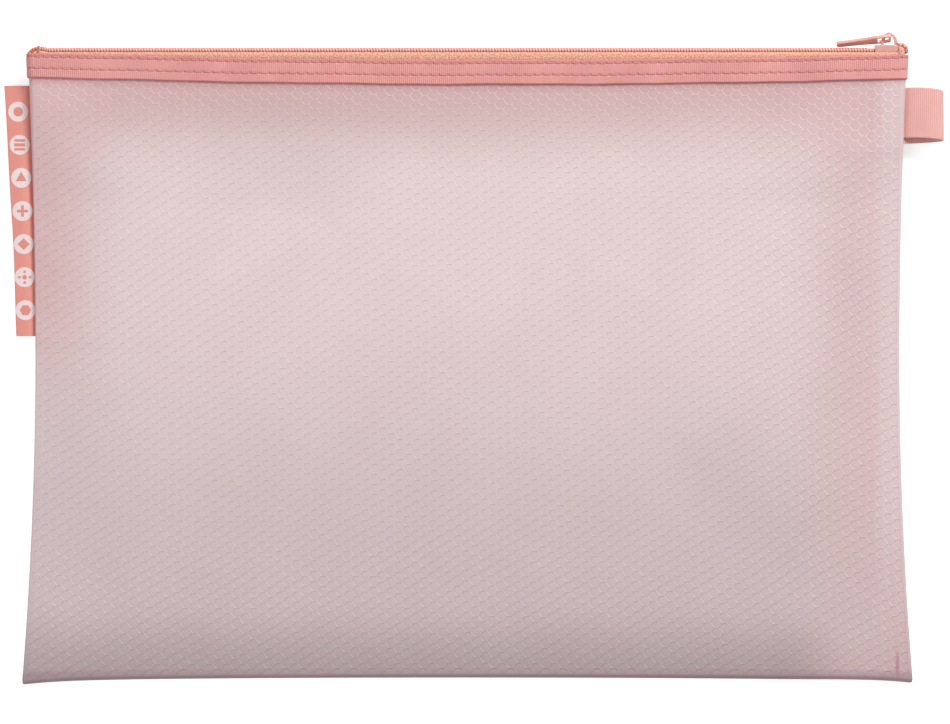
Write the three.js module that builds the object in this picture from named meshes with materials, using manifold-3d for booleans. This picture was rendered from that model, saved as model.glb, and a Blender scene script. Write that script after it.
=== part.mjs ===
// A zipper pouch for A4 papers, lying on its back: one sheet of net-reinforced film folded at the bottom,
// seamed inside at both sides and closed along the top by a coil zipper between two sewn ribbons.
// Millimetres, +X along the zipper towards its closed end, +Y towards the zipper, +Z up off the table.
// The origin is the middle of the flat back face, on the table.
import * as THREE from "three";
import Module from "manifold-3d";
import { mergeVertices } from "three/addons/utils/BufferGeometryUtils.js";

// Overall size
const WAIST_WIDTH = 329.6;
const POUCH_HEIGHT = 237.4;
const MOUTH_FLARE = 2.6;
const EAR_FLARE = 4.9;
const FOLD_SAG = 1;
const FOLD_TIP = 1.5;
const FOLD_TIP_POWER = 12;
const WAIST_Y = 5;

// Thickness of what the pouch is made of
const FILM = 0.4;
const RIBBON = 0.5;
const TAPE = 0.5;
const SEAM_TAPE = 0.35;
const SATIN = 0.25;
const THREAD = 0.25;
const LAYER_GAP = 0.15;
const THREAD_GAP = 0.1;
const TABLE_GAP = 0.05;

// Filled shape
const MOUTH_HALF = 5.25;
const MOUTH_SEAM_HALF = 5;
const FOLD_HALF = 1.75;
const BELLY = 1.2;
const SEAM_LEVEL = 2.43;
const FLAT_SHARE = 0.55;
const FLAT_TOP_DROP = 21.15;
const FLAT_LIFT_POWER = 2.5;
const CROWN_POWER = 4;
const MOUTH_POWER = 24;
const RIBBON_STEP = 6.5;
const SEAM_OPENS_DROP = 59.15;
const SEAM_RISES_DROP = 139.15;
const MOUTH_BAND = 8;

// Side seams
const ALLOWANCE = 4.2;
const RETURN_HALF_GAP = 0.1;
const CAUGHT_MARGIN = 1.5;
const CAUGHT_RAMP = 4;
const SEAM_STITCH_INSET = 1;
const SEAM_TOP_DROP = 7;
const SEAM_END_RISE = 1;

// Zipper
const COIL_HEIGHT = 1.75;
const COIL_WIDTH = 1.93;
const COIL_CORNER = 0.5;
const CHAIN_GAP = 0.24;
const TAPE_BEND = 1.4;
const TAPE_DEPTH = 11.6;
const FILM_TOP_DROP = 3.4;
const FILM_UNDER_RIBBON = 1.2;
const RIBBON_WIDTH = 9.3;
const RIBBON_SAG = 2.35;
const RIBBON_LEFT_DROP = 0.15;
const RIBBON_RIGHT_DROP = 0.9;
const LEFT_BUMP = 0.9;
const LEFT_BUMP_LENGTH = 4.3;
const RIGHT_BUMP = 1;
const RIGHT_BUMP_LENGTH = 1.6;
const LEFT_CORNER_RADIUS = 3;
const RIGHT_CORNER_RADIUS = 1.2;
const CORNER_SHARE = 0.97;
const CHAIN_END_INSET = 0.9;

// Slider
const SLIDER_LENGTH = 8.8;
const SLIDER_END_GAP = 3.6;
const SLIDER_PLATE = 0.9;
const SLIDER_WALL = 0.5;
const SLIDER_CLEARANCE = 0.2;
const TAPE_CLEARANCE = 0.25;
const SLIDER_CORNER = 0.9;
const SLIDER_WAIST = 0.35;
const SLOT_CLEARANCE = 0.3;
const DIVIDER_HALF = 0.6;
const DIVIDER_LENGTH = 2.8;
const DIVIDER_INSET = 0.2;
const SPREAD_LENGTH = 2.9;
const JOIN_DEPTH = 0.2;
const CROWN_WIDTH = 1.8;
const CROWN_LENGTH = 6;
const CROWN_HEIGHT = 4.7;
const CROWN_BAR = 1.05;
const CROWN_FORWARD = 1.3;

// Puller
const PULLER_LENGTH = 21;
const PULLER_WIDTH = 4.6;
const PULLER_THICKNESS = 1.3;
const TIP_RADIUS = 2;
const PULLER_BAR = 0.95;
const EYE_LENGTH = 4.6;
const EYE_CLEARANCE = 0.3;
const EYE_CORNER = 0.5;
const BAR_CORNER = 0.5;
const SHOULDER_LENGTH = 1.5;
const PULLER_WAIST = 0.7;
const HINGE_FORWARD = 0.2;
const HINGE_LIFT = 2.6;

// Rows of stitches on the ribbons
const UPPER_ROW = 1.2;
const LOWER_ROW = 5.6;
const THREAD_WIDTH = 0.45;
const ROW_END = 3;

// Ribbon loop in the right seam
const LOOP_WIDTH = 19.2;
const LOOP_TOP_DROP = 13.85;
const LOOP_REACH = 15;
const LOOP_HALF_HEIGHT = 3.2;
const LOOP_SKEW = 2.2;
const LOOP_TAIL = 3;

// Folded label in the left seam
const LABEL_LENGTH = 95.5;
const LABEL_TOP_DROP = 12.45;
const LABEL_REACH_TOP = 9.8;
const LABEL_REACH_BOTTOM = 7.2;
const LABEL_TAIL = 3;

// Bar of thread over the open end of the zipper
const TACK_INSET = 2.6;
const TACK_LENGTH = 1;
const TACK_DEPTH = 0.3;
const TACK_SHOULDER = 0.4;

// Values that follow from the sizes above
const CHAIN_Y = POUCH_HEIGHT / 2;
const FLAT_TOP_Y = CHAIN_Y - FLAT_TOP_DROP;
const SEAM_OPENS_Y = CHAIN_Y - SEAM_OPENS_DROP;
const SEAM_RISES_Y = CHAIN_Y - SEAM_RISES_DROP;
const MOUTH_START_Y = CHAIN_Y - MOUTH_BAND;
const LOOP_TOP_Y = CHAIN_Y - LOOP_TOP_DROP;
const LABEL_TOP_Y = CHAIN_Y - LABEL_TOP_DROP;
const THREAD_PROUD = THREAD_GAP + THREAD;
const BACK_LIFT = TABLE_GAP + THREAD_PROUD + RIBBON + LAYER_GAP;
const MOUTH_Z = BACK_LIFT + MOUTH_HALF;
const SEAM_STACK = FILM + LAYER_GAP + SEAM_TAPE + THREAD_GAP + THREAD + THREAD_GAP + FILM;
const LOOP_HALF_GAP = RETURN_HALF_GAP + RIBBON + LAYER_GAP;
const LABEL_HALF_GAP = RETURN_HALF_GAP + SATIN + LAYER_GAP;
const COIL_TOP = LAYER_GAP + COIL_HEIGHT;
const TAPE_EDGE = DIVIDER_HALF + LAYER_GAP;

const mix = (a, b, t) => a + (b - a) * t;
const clamp = (v) => Math.min(1, Math.max(0, v));
const smooth = (a, b, v) => {
  const t = clamp((v - a) / (b - a));
  return t * t * (3 - 2 * t);
};

// Outline of the pouch, seen from above

function halfWidth(y) {
  const up = Math.max(0, (y - WAIST_Y) / (POUCH_HEIGHT / 2 - WAIST_Y));
  const down = Math.max(0, (WAIST_Y - y) / (POUCH_HEIGHT / 2 + WAIST_Y));
  return WAIST_WIDTH / 2 + MOUTH_FLARE * up ** 2 + EAR_FLARE * down ** 2;
}

// The line about which the film turns at the bottom, dipping towards the ears.
function foldLine(across) {
  const s = Math.min(1, Math.abs(across));
  return -POUCH_HEIGHT / 2 + FOLD_HALF - FOLD_SAG * s ** 2 - FOLD_TIP * s ** FOLD_TIP_POWER;
}

// What each side seam holds, from its lower to its upper edge, and half the space that it needs
const CAUGHT = {
  right: { low: LOOP_TOP_Y - LOOP_WIDTH - LOOP_SKEW, high: LOOP_TOP_Y, half: LOOP_HALF_GAP },
  left: { low: LABEL_TOP_Y - LABEL_LENGTH, high: LABEL_TOP_Y, half: LABEL_HALF_GAP },
};

// Half the space left between the two turned-in edges, wider where the loop or the label is caught.
function returnHalfGap(side, y) {
  const { low, high, half } = side > 0 ? CAUGHT.right : CAUGHT.left;
  const below = (y - low + CAUGHT_MARGIN) / CAUGHT_RAMP + 1;
  const above = (high + CAUGHT_MARGIN - y) / CAUGHT_RAMP + 1;
  return mix(RETURN_HALF_GAP, half, Math.min(clamp(below), clamp(above)));
}

function seamHalf(side, y) {
  const stitched = returnHalfGap(side, y) + SEAM_STACK;
  return mix(stitched, MOUTH_SEAM_HALF, smooth(SEAM_OPENS_Y, MOUTH_START_Y, y));
}

const seamMid = (y) => mix(SEAM_LEVEL, MOUTH_Z, smooth(SEAM_RISES_Y, MOUTH_START_Y, y));

const turnRadius = (side, y) => (seamHalf(side, y) - returnHalfGap(side, y)) / 2;

// Where the front and back stop and the turn into the seam begins.
const mainHalfWidth = (side, y) => halfWidth(y) - turnRadius(side, y);

// Outer surfaces of the film. "across" runs from -1 to 1 between the seams, to 2 round the turn into
// the seam and to 3 along the turned-in edge.

function frontHeight(across, y) {
  const side = Math.sign(across) || 1;
  const t = clamp((y - foldLine(0)) / (MOUTH_START_Y - foldLine(0)));
  const crown = mix(2 * FOLD_HALF, MOUTH_Z + MOUTH_HALF, t) + BELLY * Math.sin(Math.PI * t);
  const power = mix(CROWN_POWER, MOUTH_POWER, smooth(SEAM_OPENS_Y, MOUTH_START_Y, y));
  return mix(crown, seamMid(y) + seamHalf(side, y), Math.abs(across) ** power);
}

function backHeight(across, y) {
  const side = Math.sign(across) || 1;
  const flat = BACK_LIFT * smooth(FLAT_TOP_Y, FLAT_TOP_Y + RIBBON_STEP, y);
  const lift = clamp((Math.abs(across) - FLAT_SHARE) / (1 - FLAT_SHARE)) ** FLAT_LIFT_POWER;
  return mix(flat, seamMid(y) - seamHalf(side, y), lift);
}

// Position across the pouch, the level of the middle and the distance of the surface from it.
function across2section(across, y) {
  const side = Math.sign(across) || 1;
  const s = Math.abs(across);
  if (s <= 1) {
    const top = frontHeight(across, y);
    const bottom = backHeight(across, y);
    return { x: across * mainHalfWidth(side, y), mid: (top + bottom) / 2, away: (top - bottom) / 2 };
  }
  const radius = turnRadius(side, y);
  const angle = Math.PI * Math.min(1, s - 1);
  const back = ALLOWANCE * Math.max(0, s - 2);
  return {
    x: side * (mainHalfWidth(side, y) + radius * Math.sin(angle) - back),
    mid: seamMid(y),
    away: returnHalfGap(side, y) + radius + radius * Math.cos(angle),
  };
}

// A point of the film's outer surface: turn is 0 on the front, pi on the back, and between them in the fold.
function shellPoint(across, y, turn) {
  const { x, mid, away } = across2section(across, y);
  return new THREE.Vector3(x, y - away * Math.sin(turn), mid + away * Math.cos(turn));
}

// Unit normal of a surface given as a function of two numbers, by small steps either way.
function normalOf(surface, u, v) {
  const step = 1e-3;
  const du = surface(u + step, v).sub(surface(u - step, v));
  const dv = surface(u, v + step).sub(surface(u, v - step));
  return du.cross(dv).normalize();
}

// Solids from grids and rings of points

function geometryFrom(points, triangles) {
  const geometry = new THREE.BufferGeometry();
  const flat = points.flatMap((p) => [p.x, p.y, p.z]);
  geometry.setAttribute("position", new THREE.Float32BufferAttribute(flat, 3));
  geometry.setIndex(triangles.flat());
  geometry.computeVertexNormals();
  return geometry;
}

// A closed sheet: the outer face is the surface at each pair of us and vs, and the inner one lies a thickness
// below it. The surface's own normal, du cross dv, points out.
function sheetSolid(surface, us, vs, thickness) {
  const points = [];
  for (const depth of [0, thickness]) {
    for (const u of us) {
      for (const v of vs) {
        points.push(surface(u, v).addScaledVector(normalOf(surface, u, v), -depth));
      }
    }
  }
  const layer = us.length * vs.length;
  const at = (i, j, inner) => inner * layer + i * vs.length + j;
  const triangles = [];
  const quad = (a, b, c, d) => triangles.push([a, b, c], [a, c, d]);
  for (let i = 0; i + 1 < us.length; i++) {
    for (let j = 0; j + 1 < vs.length; j++) {
      quad(at(i, j, 0), at(i + 1, j, 0), at(i + 1, j + 1, 0), at(i, j + 1, 0));
      quad(at(i, j, 1), at(i, j + 1, 1), at(i + 1, j + 1, 1), at(i + 1, j, 1));
    }
  }
  const lastU = us.length - 1;
  const lastV = vs.length - 1;
  for (let i = 0; i < lastU; i++) {
    quad(at(i, 0, 0), at(i, 0, 1), at(i + 1, 0, 1), at(i + 1, 0, 0));
    quad(at(i, lastV, 0), at(i + 1, lastV, 0), at(i + 1, lastV, 1), at(i, lastV, 1));
  }
  for (let j = 0; j < lastV; j++) {
    quad(at(0, j, 0), at(0, j + 1, 0), at(0, j + 1, 1), at(0, j, 1));
    quad(at(lastU, j, 0), at(lastU, j, 1), at(lastU, j + 1, 1), at(lastU, j + 1, 0));
  }
  return geometryFrom(points, triangles);
}

// A closed solid through rings of points, each ring counter-clockwise seen from the end of the row.
function ringSolid(rings) {
  const count = rings[0].length;
  const points = rings.flat();
  const triangles = [];
  for (let i = 0; i + 1 < rings.length; i++) {
    for (let j = 0; j < count; j++) {
      const a = i * count + j;
      const b = i * count + ((j + 1) % count);
      triangles.push([a, b, b + count], [a, b + count, a + count]);
    }
  }
  const faces = THREE.ShapeUtils.triangulateShape(planeOf(rings[0]), []);
  const last = (rings.length - 1) * count;
  for (const [a, b, c] of faces) {
    triangles.push([c, b, a], [last + a, last + b, last + c]);
  }
  return geometryFrom(points, triangles);
}

// The ring's own plane as flat points, turned the same way as the ring.
function planeOf(ring) {
  const normal = new THREE.Vector3();
  ring.forEach((p, i) => normal.add(p.clone().cross(ring[(i + 1) % ring.length])));
  normal.normalize();
  const right = ring[1].clone().sub(ring[0]).normalize();
  const up = normal.clone().cross(right);
  return ring.map((p) => new THREE.Vector2(p.dot(right), p.dot(up)));
}

// Joining and cutting

const wasm = await Module();
wasm.setup();

function solidOf(geometry) {
  const bare = geometry.clone().deleteAttribute("normal");
  bare.deleteAttribute("uv");
  const merged = mergeVertices(bare, 1e-4);
  return new wasm.Manifold(
    new wasm.Mesh({
      numProp: 3,
      vertProperties: merged.getAttribute("position").array,
      triVerts: new Uint32Array(merged.index.array),
    }),
  );
}

function geometryOf(solid) {
  const mesh = solid.getMesh();
  const points = [];
  for (let i = 0; i < mesh.vertProperties.length; i += mesh.numProp) {
    points.push(new THREE.Vector3(...mesh.vertProperties.slice(i, i + 3)));
  }
  const triangles = [];
  for (let i = 0; i < mesh.triVerts.length; i += 3) {
    triangles.push([...mesh.triVerts.slice(i, i + 3)]);
  }
  return geometryFrom(points, triangles);
}

// Lines of the grids. The sheets that lie on each other share them, so that their facets stay parallel.

const HALF_COLUMNS = [0.2, 0.4, 0.55, 0.68, 0.8, 0.9, 0.96, 1];
const mirrored = (columns) => [...columns.map((c) => -c).reverse(), 0, ...columns];
const TURN_STEPS = [30, 60, 90, 120, 150].map((angle) => 1 + angle / 180);

function sideRows() {
  const rows = [FLAT_TOP_Y + RIBBON_STEP, FLAT_TOP_Y];
  for (const { low, high } of [CAUGHT.right, CAUGHT.left]) {
    const margins = [CAUGHT_MARGIN, CAUGHT_MARGIN + CAUGHT_RAMP];
    margins.forEach((margin) => rows.push(low - margin, high + margin));
  }
  [0.42, -0.17, -0.5, -0.8].forEach((share) => rows.push((share * POUCH_HEIGHT) / 2));
  return rows.sort((a, b) => b - a);
}

// The film

function filmGeometry() {
  const inner = sideRows();
  const rows = [];
  inner.forEach((y) => rows.push({ y, turn: 0 }));
  rows.unshift({ top: true, turn: 0 });
  [0, 30, 60, 90, 120, 150, 180].forEach((a) => rows.push({ fold: true, turn: (a * Math.PI) / 180 }));
  [...inner].reverse().forEach((y) => rows.push({ y, turn: Math.PI }));
  rows.push({ top: true, turn: Math.PI });
  const rowY = (row, across) => {
    if (row.top) return filmTop(across);
    return row.fold ? foldLine(across) : row.y;
  };
  // Between two rows the surface is followed in a straight line, so a normal comes from the rows around it.
  const surface = (across, index) => {
    const low = Math.min(rows.length - 2, Math.max(0, Math.floor(index)));
    const t = index - low;
    const y = mix(rowY(rows[low], across), rowY(rows[low + 1], across), t);
    return shellPoint(across, y, mix(rows[low].turn, rows[low + 1].turn, t));
  };
  const columns = mirrored([...HALF_COLUMNS, ...TURN_STEPS, 2, 2.5, 3]);
  return sheetSolid((index, across) => surface(across, index), rows.map((_, i) => i), columns, FILM);
}

const ribbonTop = (across) => {
  const s = Math.min(1, Math.max(-1, across));
  const drop = mix(RIBBON_LEFT_DROP, RIBBON_RIGHT_DROP, (s + 1) / 2);
  return CHAIN_Y - drop - RIBBON_SAG * (1 - s ** 2);
};

// The film ends under the ribbon, low enough at the sides to clear the slider.
function filmTop(across) {
  return Math.min(ribbonTop(across) - FILM_UNDER_RIBBON, CHAIN_Y - FILM_TOP_DROP);
}

// A surface at a distance outside the film's, on the front (turn 0) or the back (turn pi)
function besideFilm(turn, distance) {
  const film = (across, y) => shellPoint(across, y, turn);
  const out = turn === 0 ? 1 : -1;
  return (across, y) => film(across, y).addScaledVector(normalOf(film, across, y), out * distance);
}

// Ribbons over the film's upper edges

function ribbonGeometry(turn) {
  const columns = mirrored([...HALF_COLUMNS, ...TURN_STEPS.slice(0, 4)]);
  const face = besideFilm(turn, LAYER_GAP + RIBBON);
  const surface = (across, t) => face(across, ribbonTop(across) - RIBBON_WIDTH * t);
  const rows = [0, 0.25, 0.6, 1];
  if (turn === 0) return sheetSolid((t, across) => surface(across, t), rows, columns, RIBBON);
  return sheetSolid(surface, columns, rows, RIBBON);
}

// Zipper

const leftEnd = -(halfWidth(CHAIN_Y) - CHAIN_END_INSET);
const rightEnd = halfWidth(CHAIN_Y) - CHAIN_END_INSET;
const SLIDER_X = halfWidth(CHAIN_Y) - SLIDER_END_GAP - SLIDER_LENGTH / 2;

// Height of the tape's outer face along the zipper: straight where the slider runs, raised and then turned
// down at both ends.
function chainLine(x) {
  const rise = leftEnd + LEFT_CORNER_RADIUS;
  const bend = rightEnd - RIGHT_CORNER_RADIUS;
  const leftBump = LEFT_BUMP * smooth(-(rise + LEFT_BUMP_LENGTH), -rise, -x);
  const rightBump = RIGHT_BUMP * smooth(bend - RIGHT_BUMP_LENGTH, bend, x);
  const leftFall = Math.max(0, rise - x);
  const rightFall = Math.max(0, x - bend);
  const drop = (fall, radius) => radius - Math.sqrt(Math.max(0, radius ** 2 - fall ** 2));
  const left = drop(Math.min(leftFall, LEFT_CORNER_RADIUS * CORNER_SHARE), LEFT_CORNER_RADIUS);
  const right = drop(Math.min(rightFall, RIGHT_CORNER_RADIUS * CORNER_SHARE), RIGHT_CORNER_RADIUS);
  return CHAIN_Y + leftBump + rightBump - left - right;
}

function zipperStations() {
  const rise = leftEnd + LEFT_CORNER_RADIUS;
  const bend = rightEnd - RIGHT_CORNER_RADIUS;
  const left = [0.93, 0.8, 0.6, 0.3, 0].map((t) => rise - LEFT_CORNER_RADIUS * t);
  const bump = [0.33, 0.67, 1].map((t) => rise + LEFT_BUMP_LENGTH * t);
  const lift = [1, 0.67, 0.33].map((t) => bend - RIGHT_BUMP_LENGTH * t);
  const right = [0, 0.4, 0.7, 0.93].map((t) => bend + RIGHT_CORNER_RADIUS * t);
  return { left: [...left, ...bump], right: [...lift, ...right] };
}

// Front (turn 0) or back (turn pi) tape: flat beside the chain, bent round, then down inside the film.
function tapeGeometry(turn) {
  const { left, right } = zipperStations();
  const out = turn === 0 ? 1 : -1;
  const leg = besideFilm(turn, -(FILM + LAYER_GAP));
  const half = mainHalfWidth(1, CHAIN_Y - TAPE_BEND);
  const toAcross = (x) => {
    const s = Math.abs(x) / half;
    if (s <= 1) return x / half;
    const beyond = Math.min(1, (Math.abs(x) - half) / (turnRadius(1, CHAIN_Y) - FILM - LAYER_GAP));
    return Math.sign(x) * (1 + Math.asin(beyond) / Math.PI);
  };
  const surface = (x, s) => {
    const across = toAcross(x);
    const bendY = chainLine(x) - TAPE_BEND;
    if (s >= 2) return leg(across, mix(bendY, CHAIN_Y - TAPE_DEPTH, s - 2));
    const bend = leg(across, bendY);
    const flat = Math.abs(bend.z - MOUTH_Z) - TAPE_BEND;
    if (s >= 1) {
      const angle = ((2 - s) * Math.PI) / 2;
      const z = MOUTH_Z + out * (flat + TAPE_BEND * Math.cos(angle));
      return new THREE.Vector3(bend.x, bendY + TAPE_BEND * Math.sin(angle), z);
    }
    return new THREE.Vector3(bend.x, bendY + TAPE_BEND, MOUTH_Z + out * mix(TAPE_EDGE, flat, s));
  };
  const middle = mirrored(HALF_COLUMNS.slice(0, 6)).map((c) => c * half);
  const stations = [...left, ...middle, ...right].sort((a, b) => a - b);
  const steps = [0, 1, 1.33, 1.67, 2, 2.3, 3];
  if (turn === 0) return sheetSolid((s, x) => surface(x, s), steps, stations, TAPE);
  return sheetSolid(surface, stations, steps, TAPE);
}

// One half of the coil as a plain ridge on the tape. It is spread round the slider's divider.
function coilGeometry(out) {
  const { left, right } = zipperStations();
  const head = SLIDER_X + SLIDER_LENGTH / 2;
  const parted = head - DIVIDER_LENGTH / 2;
  const throat = parted - SPREAD_LENGTH;
  const spread = [0, 0.35, 0.65, 1].map((t) => mix(throat, parted, t));
  const stations = [...left, ...spread, ...right].sort((a, b) => a - b);
  const rings = stations.map((x) => {
    const apart = smooth(throat, parted, x) * (TAPE_EDGE - CHAIN_GAP / 2);
    const inner = CHAIN_GAP / 2 + apart;
    const outer = inner + COIL_WIDTH;
    const base = chainLine(x) + LAYER_GAP;
    const shoulder = base + COIL_HEIGHT - COIL_CORNER;
    const outline = [
      [inner, base],
      [inner, shoulder],
      [inner + COIL_CORNER, base + COIL_HEIGHT],
      [outer - COIL_CORNER, base + COIL_HEIGHT],
      [outer, shoulder],
      [outer, base],
    ];
    const ring = outline.map(([z, y]) => new THREE.Vector3(x, y, MOUTH_Z + out * z));
    return out > 0 ? ring : ring.reverse();
  });
  return ringSolid(rings);
}

// Bar of thread that closes the open end, over both halves of the coil
function tackGeometry() {
  const x = leftEnd + TACK_INSET;
  const level = Math.max(chainLine(x), chainLine(x + TACK_LENGTH));
  const high = level + COIL_TOP + THREAD_GAP;
  const low = level + LAYER_GAP;
  const inner = CHAIN_GAP / 2 + COIL_WIDTH + LAYER_GAP;
  const shape = new THREE.Shape();
  shape.moveTo(-inner - TACK_DEPTH, low);
  shape.lineTo(-inner, low);
  shape.lineTo(-inner, high);
  shape.lineTo(inner, high);
  shape.lineTo(inner, low);
  shape.lineTo(inner + TACK_DEPTH, low);
  shape.lineTo(inner + TACK_DEPTH, high + TACK_DEPTH * TACK_SHOULDER);
  shape.lineTo(inner, high + TACK_DEPTH);
  shape.lineTo(-inner, high + TACK_DEPTH);
  shape.lineTo(-inner - TACK_DEPTH, high + TACK_DEPTH * TACK_SHOULDER);
  const bar = new THREE.ExtrudeGeometry(shape, { depth: TACK_LENGTH, bevelEnabled: false });
  bar.rotateY(Math.PI / 2);
  bar.translate(x, 0, MOUTH_Z);
  return bar;
}

// A row of stitches, as the line of thread that shows on one face of the cloth
function threadSolid(stations) {
  const rings = stations.map(({ point, out, side }) => [
    point.clone().addScaledVector(side, -THREAD_WIDTH / 2),
    point.clone().addScaledVector(side, THREAD_WIDTH / 2),
    point.clone().addScaledVector(out, THREAD),
  ]);
  return ringSolid(rings);
}

function ribbonStitches(turn, inset) {
  const out = turn === 0 ? 1 : -1;
  const face = besideFilm(turn, LAYER_GAP + RIBBON + THREAD_GAP);
  const columns = mirrored([...HALF_COLUMNS.slice(0, -1), 1 - ROW_END / WAIST_WIDTH]);
  const stations = columns.map((across) => ({
    point: face(across, ribbonTop(across) - inset),
    out: new THREE.Vector3(0, 0, out),
    side: new THREE.Vector3(0, out, 0),
  }));
  return threadSolid(stations);
}

// Heights that the inside of a side seam is drawn through, from its top to just above the fold
function seamRows() {
  const top = CHAIN_Y - SEAM_TOP_DROP;
  return [top, ...sideRows().filter((y) => y < top), foldLine(1) + SEAM_END_RISE];
}

// Tape bound round the raw edges inside a side seam
function seamTapeGeometry(side) {
  const rings = seamRows().reverse().map((y) => {
    const start = mainHalfWidth(side, y) - LAYER_GAP;
    const bend = mainHalfWidth(side, y) - ALLOWANCE - LAYER_GAP;
    const inner = returnHalfGap(side, y) + FILM + LAYER_GAP;
    const outer = inner + SEAM_TAPE;
    const outline = [
      [start, inner],
      [start, outer],
      [bend - SEAM_TAPE, outer],
      [bend - SEAM_TAPE, -outer],
      [start, -outer],
      [start, -inner],
      [bend, -inner],
      [bend, inner],
    ];
    const ring = outline.map(([x, away]) => new THREE.Vector3(side * x, y, seamMid(y) + away));
    return side > 0 ? ring.reverse() : ring;
  });
  return ringSolid(rings);
}

// Stitches through a side seam, on the front (face 1) or the back (face -1) of the tape that binds it
function seamStitches(side, face) {
  const rows = seamRows();
  const stations = rows.map((y) => {
    const away = returnHalfGap(side, y) + FILM + LAYER_GAP + SEAM_TAPE + THREAD_GAP;
    const x = side * (mainHalfWidth(side, y) - SEAM_STITCH_INSET);
    return {
      point: new THREE.Vector3(x, y, seamMid(y) + face * away),
      out: new THREE.Vector3(0, 0, face),
      side: new THREE.Vector3(face, 0, 0),
    };
  });
  return threadSolid(stations);
}

// Ribbon loop: both ends caught between the turned-in edges, open and round at its far end

function loopGeometry() {
  const middleY = LOOP_TOP_Y - LOOP_WIDTH / 2;
  const seamX = mainHalfWidth(1, middleY);
  const edgeX = halfWidth(middleY);
  const tailAway = RETURN_HALF_GAP + RIBBON;
  const farX = edgeX + LOOP_REACH - LOOP_HALF_HEIGHT;
  const spread = (t) => mix(tailAway, LOOP_HALF_HEIGHT, Math.sin((Math.PI / 2) * t));
  const half = [[seamX - LOOP_TAIL, tailAway], [seamX, tailAway], [edgeX, tailAway]];
  [0.25, 0.5, 0.75, 1].forEach((t) => half.push([mix(edgeX, farX, t), spread(t)]));
  [30, 60].forEach((a) => {
    const angle = (a * Math.PI) / 180;
    half.push([farX + LOOP_HALF_HEIGHT * Math.sin(angle), LOOP_HALF_HEIGHT * Math.cos(angle)]);
  });
  const tip = [edgeX + LOOP_REACH, 0];
  const path = [...half, tip, ...half.map(([x, away]) => [x, -away]).reverse()];
  const surface = (index, t) => {
    const low = Math.min(path.length - 2, Math.max(0, Math.floor(index)));
    const part = index - low;
    const x = mix(path[low][0], path[low + 1][0], part);
    const away = mix(path[low][1], path[low + 1][1], part);
    const y = LOOP_TOP_Y - LOOP_WIDTH * (1 - t) - LOOP_SKEW * smooth(0, path.length - 1, index);
    return new THREE.Vector3(x, y, seamMid(y) + away);
  };
  return sheetSolid(surface, path.map((_, i) => i), [0, 0.33, 0.67, 1], RIBBON);
}

// Label folded along its outer edge, its raw edges caught in the left seam
function labelGeometry() {
  const rows = [LABEL_TOP_Y, ...sideRows(), LABEL_TOP_Y - LABEL_LENGTH]
    .filter((y) => y <= LABEL_TOP_Y && y >= LABEL_TOP_Y - LABEL_LENGTH)
    .sort((a, b) => a - b);
  const away = RETURN_HALF_GAP + SATIN;
  const profile = [
    ["tail", -away],
    ["seam", -away],
    ["edge", -away],
    ["fold", -away],
    ["tip", 0],
    ["fold", away],
    ["edge", away],
    ["seam", away],
    ["tail", away],
  ];
  const place = (name, y) => {
    const t = (LABEL_TOP_Y - y) / LABEL_LENGTH;
    const reach = mix(LABEL_REACH_TOP, LABEL_REACH_BOTTOM, t);
    if (name === "tail") return mainHalfWidth(-1, y) - LABEL_TAIL;
    if (name === "seam") return mainHalfWidth(-1, y);
    if (name === "edge") return halfWidth(y);
    return halfWidth(y) + reach - (name === "tip" ? 0 : away);
  };
  const surface = (index, y) => {
    const low = Math.min(profile.length - 2, Math.max(0, Math.floor(index)));
    const part = index - low;
    const x = mix(place(profile[low][0], y), place(profile[low + 1][0], y), part);
    const z = mix(profile[low][1], profile[low + 1][1], part);
    return new THREE.Vector3(-x, y, seamMid(y) + z);
  };
  return sheetSolid(surface, profile.map((_, i) => i), rows, SATIN);
}

// Slider, in its own frame: x towards its head, y out of the pouch from the tape's outer face, z across

const CHANNEL_TOP = COIL_TOP + SLIDER_CLEARANCE;
const CHANNEL_BOTTOM = -TAPE - TAPE_CLEARANCE;
const REAR_HALF = CHAIN_GAP / 2 + COIL_WIDTH + SLIDER_CLEARANCE;
const HEAD_HALF = TAPE_EDGE + COIL_WIDTH + SLIDER_CLEARANCE;
const PLATE_TOP = CHANNEL_TOP + SLIDER_PLATE;

// Outline of the slider seen from outside, wide at the head and drawn in towards the rear.
function sliderOutline(rearHalf, headHalf, corner, rearX, headX) {
  const shape = new THREE.Shape();
  const waistX = mix(rearX, headX, SLIDER_WAIST);
  shape.moveTo(rearX, -rearHalf + corner);
  shape.quadraticCurveTo(rearX, -rearHalf, rearX + corner, -rearHalf);
  shape.quadraticCurveTo(waistX, -rearHalf, headX - corner * 1.5, -headHalf);
  shape.quadraticCurveTo(headX, -headHalf, headX, -headHalf + corner);
  shape.lineTo(headX, headHalf - corner);
  shape.quadraticCurveTo(headX, headHalf, headX - corner * 1.5, headHalf);
  shape.quadraticCurveTo(waistX, rearHalf, rearX + corner, rearHalf);
  shape.quadraticCurveTo(rearX, rearHalf, rearX, rearHalf - corner);
  return shape;
}

// A flat outline in x and z as a slab from one height to another
function slab(shape, from, to, segments) {
  const geometry = new THREE.ExtrudeGeometry(shape, {
    depth: to - from,
    bevelEnabled: false,
    curveSegments: segments,
  });
  geometry.rotateX(Math.PI / 2);
  geometry.translate(0, to, 0);
  return geometry;
}

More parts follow.
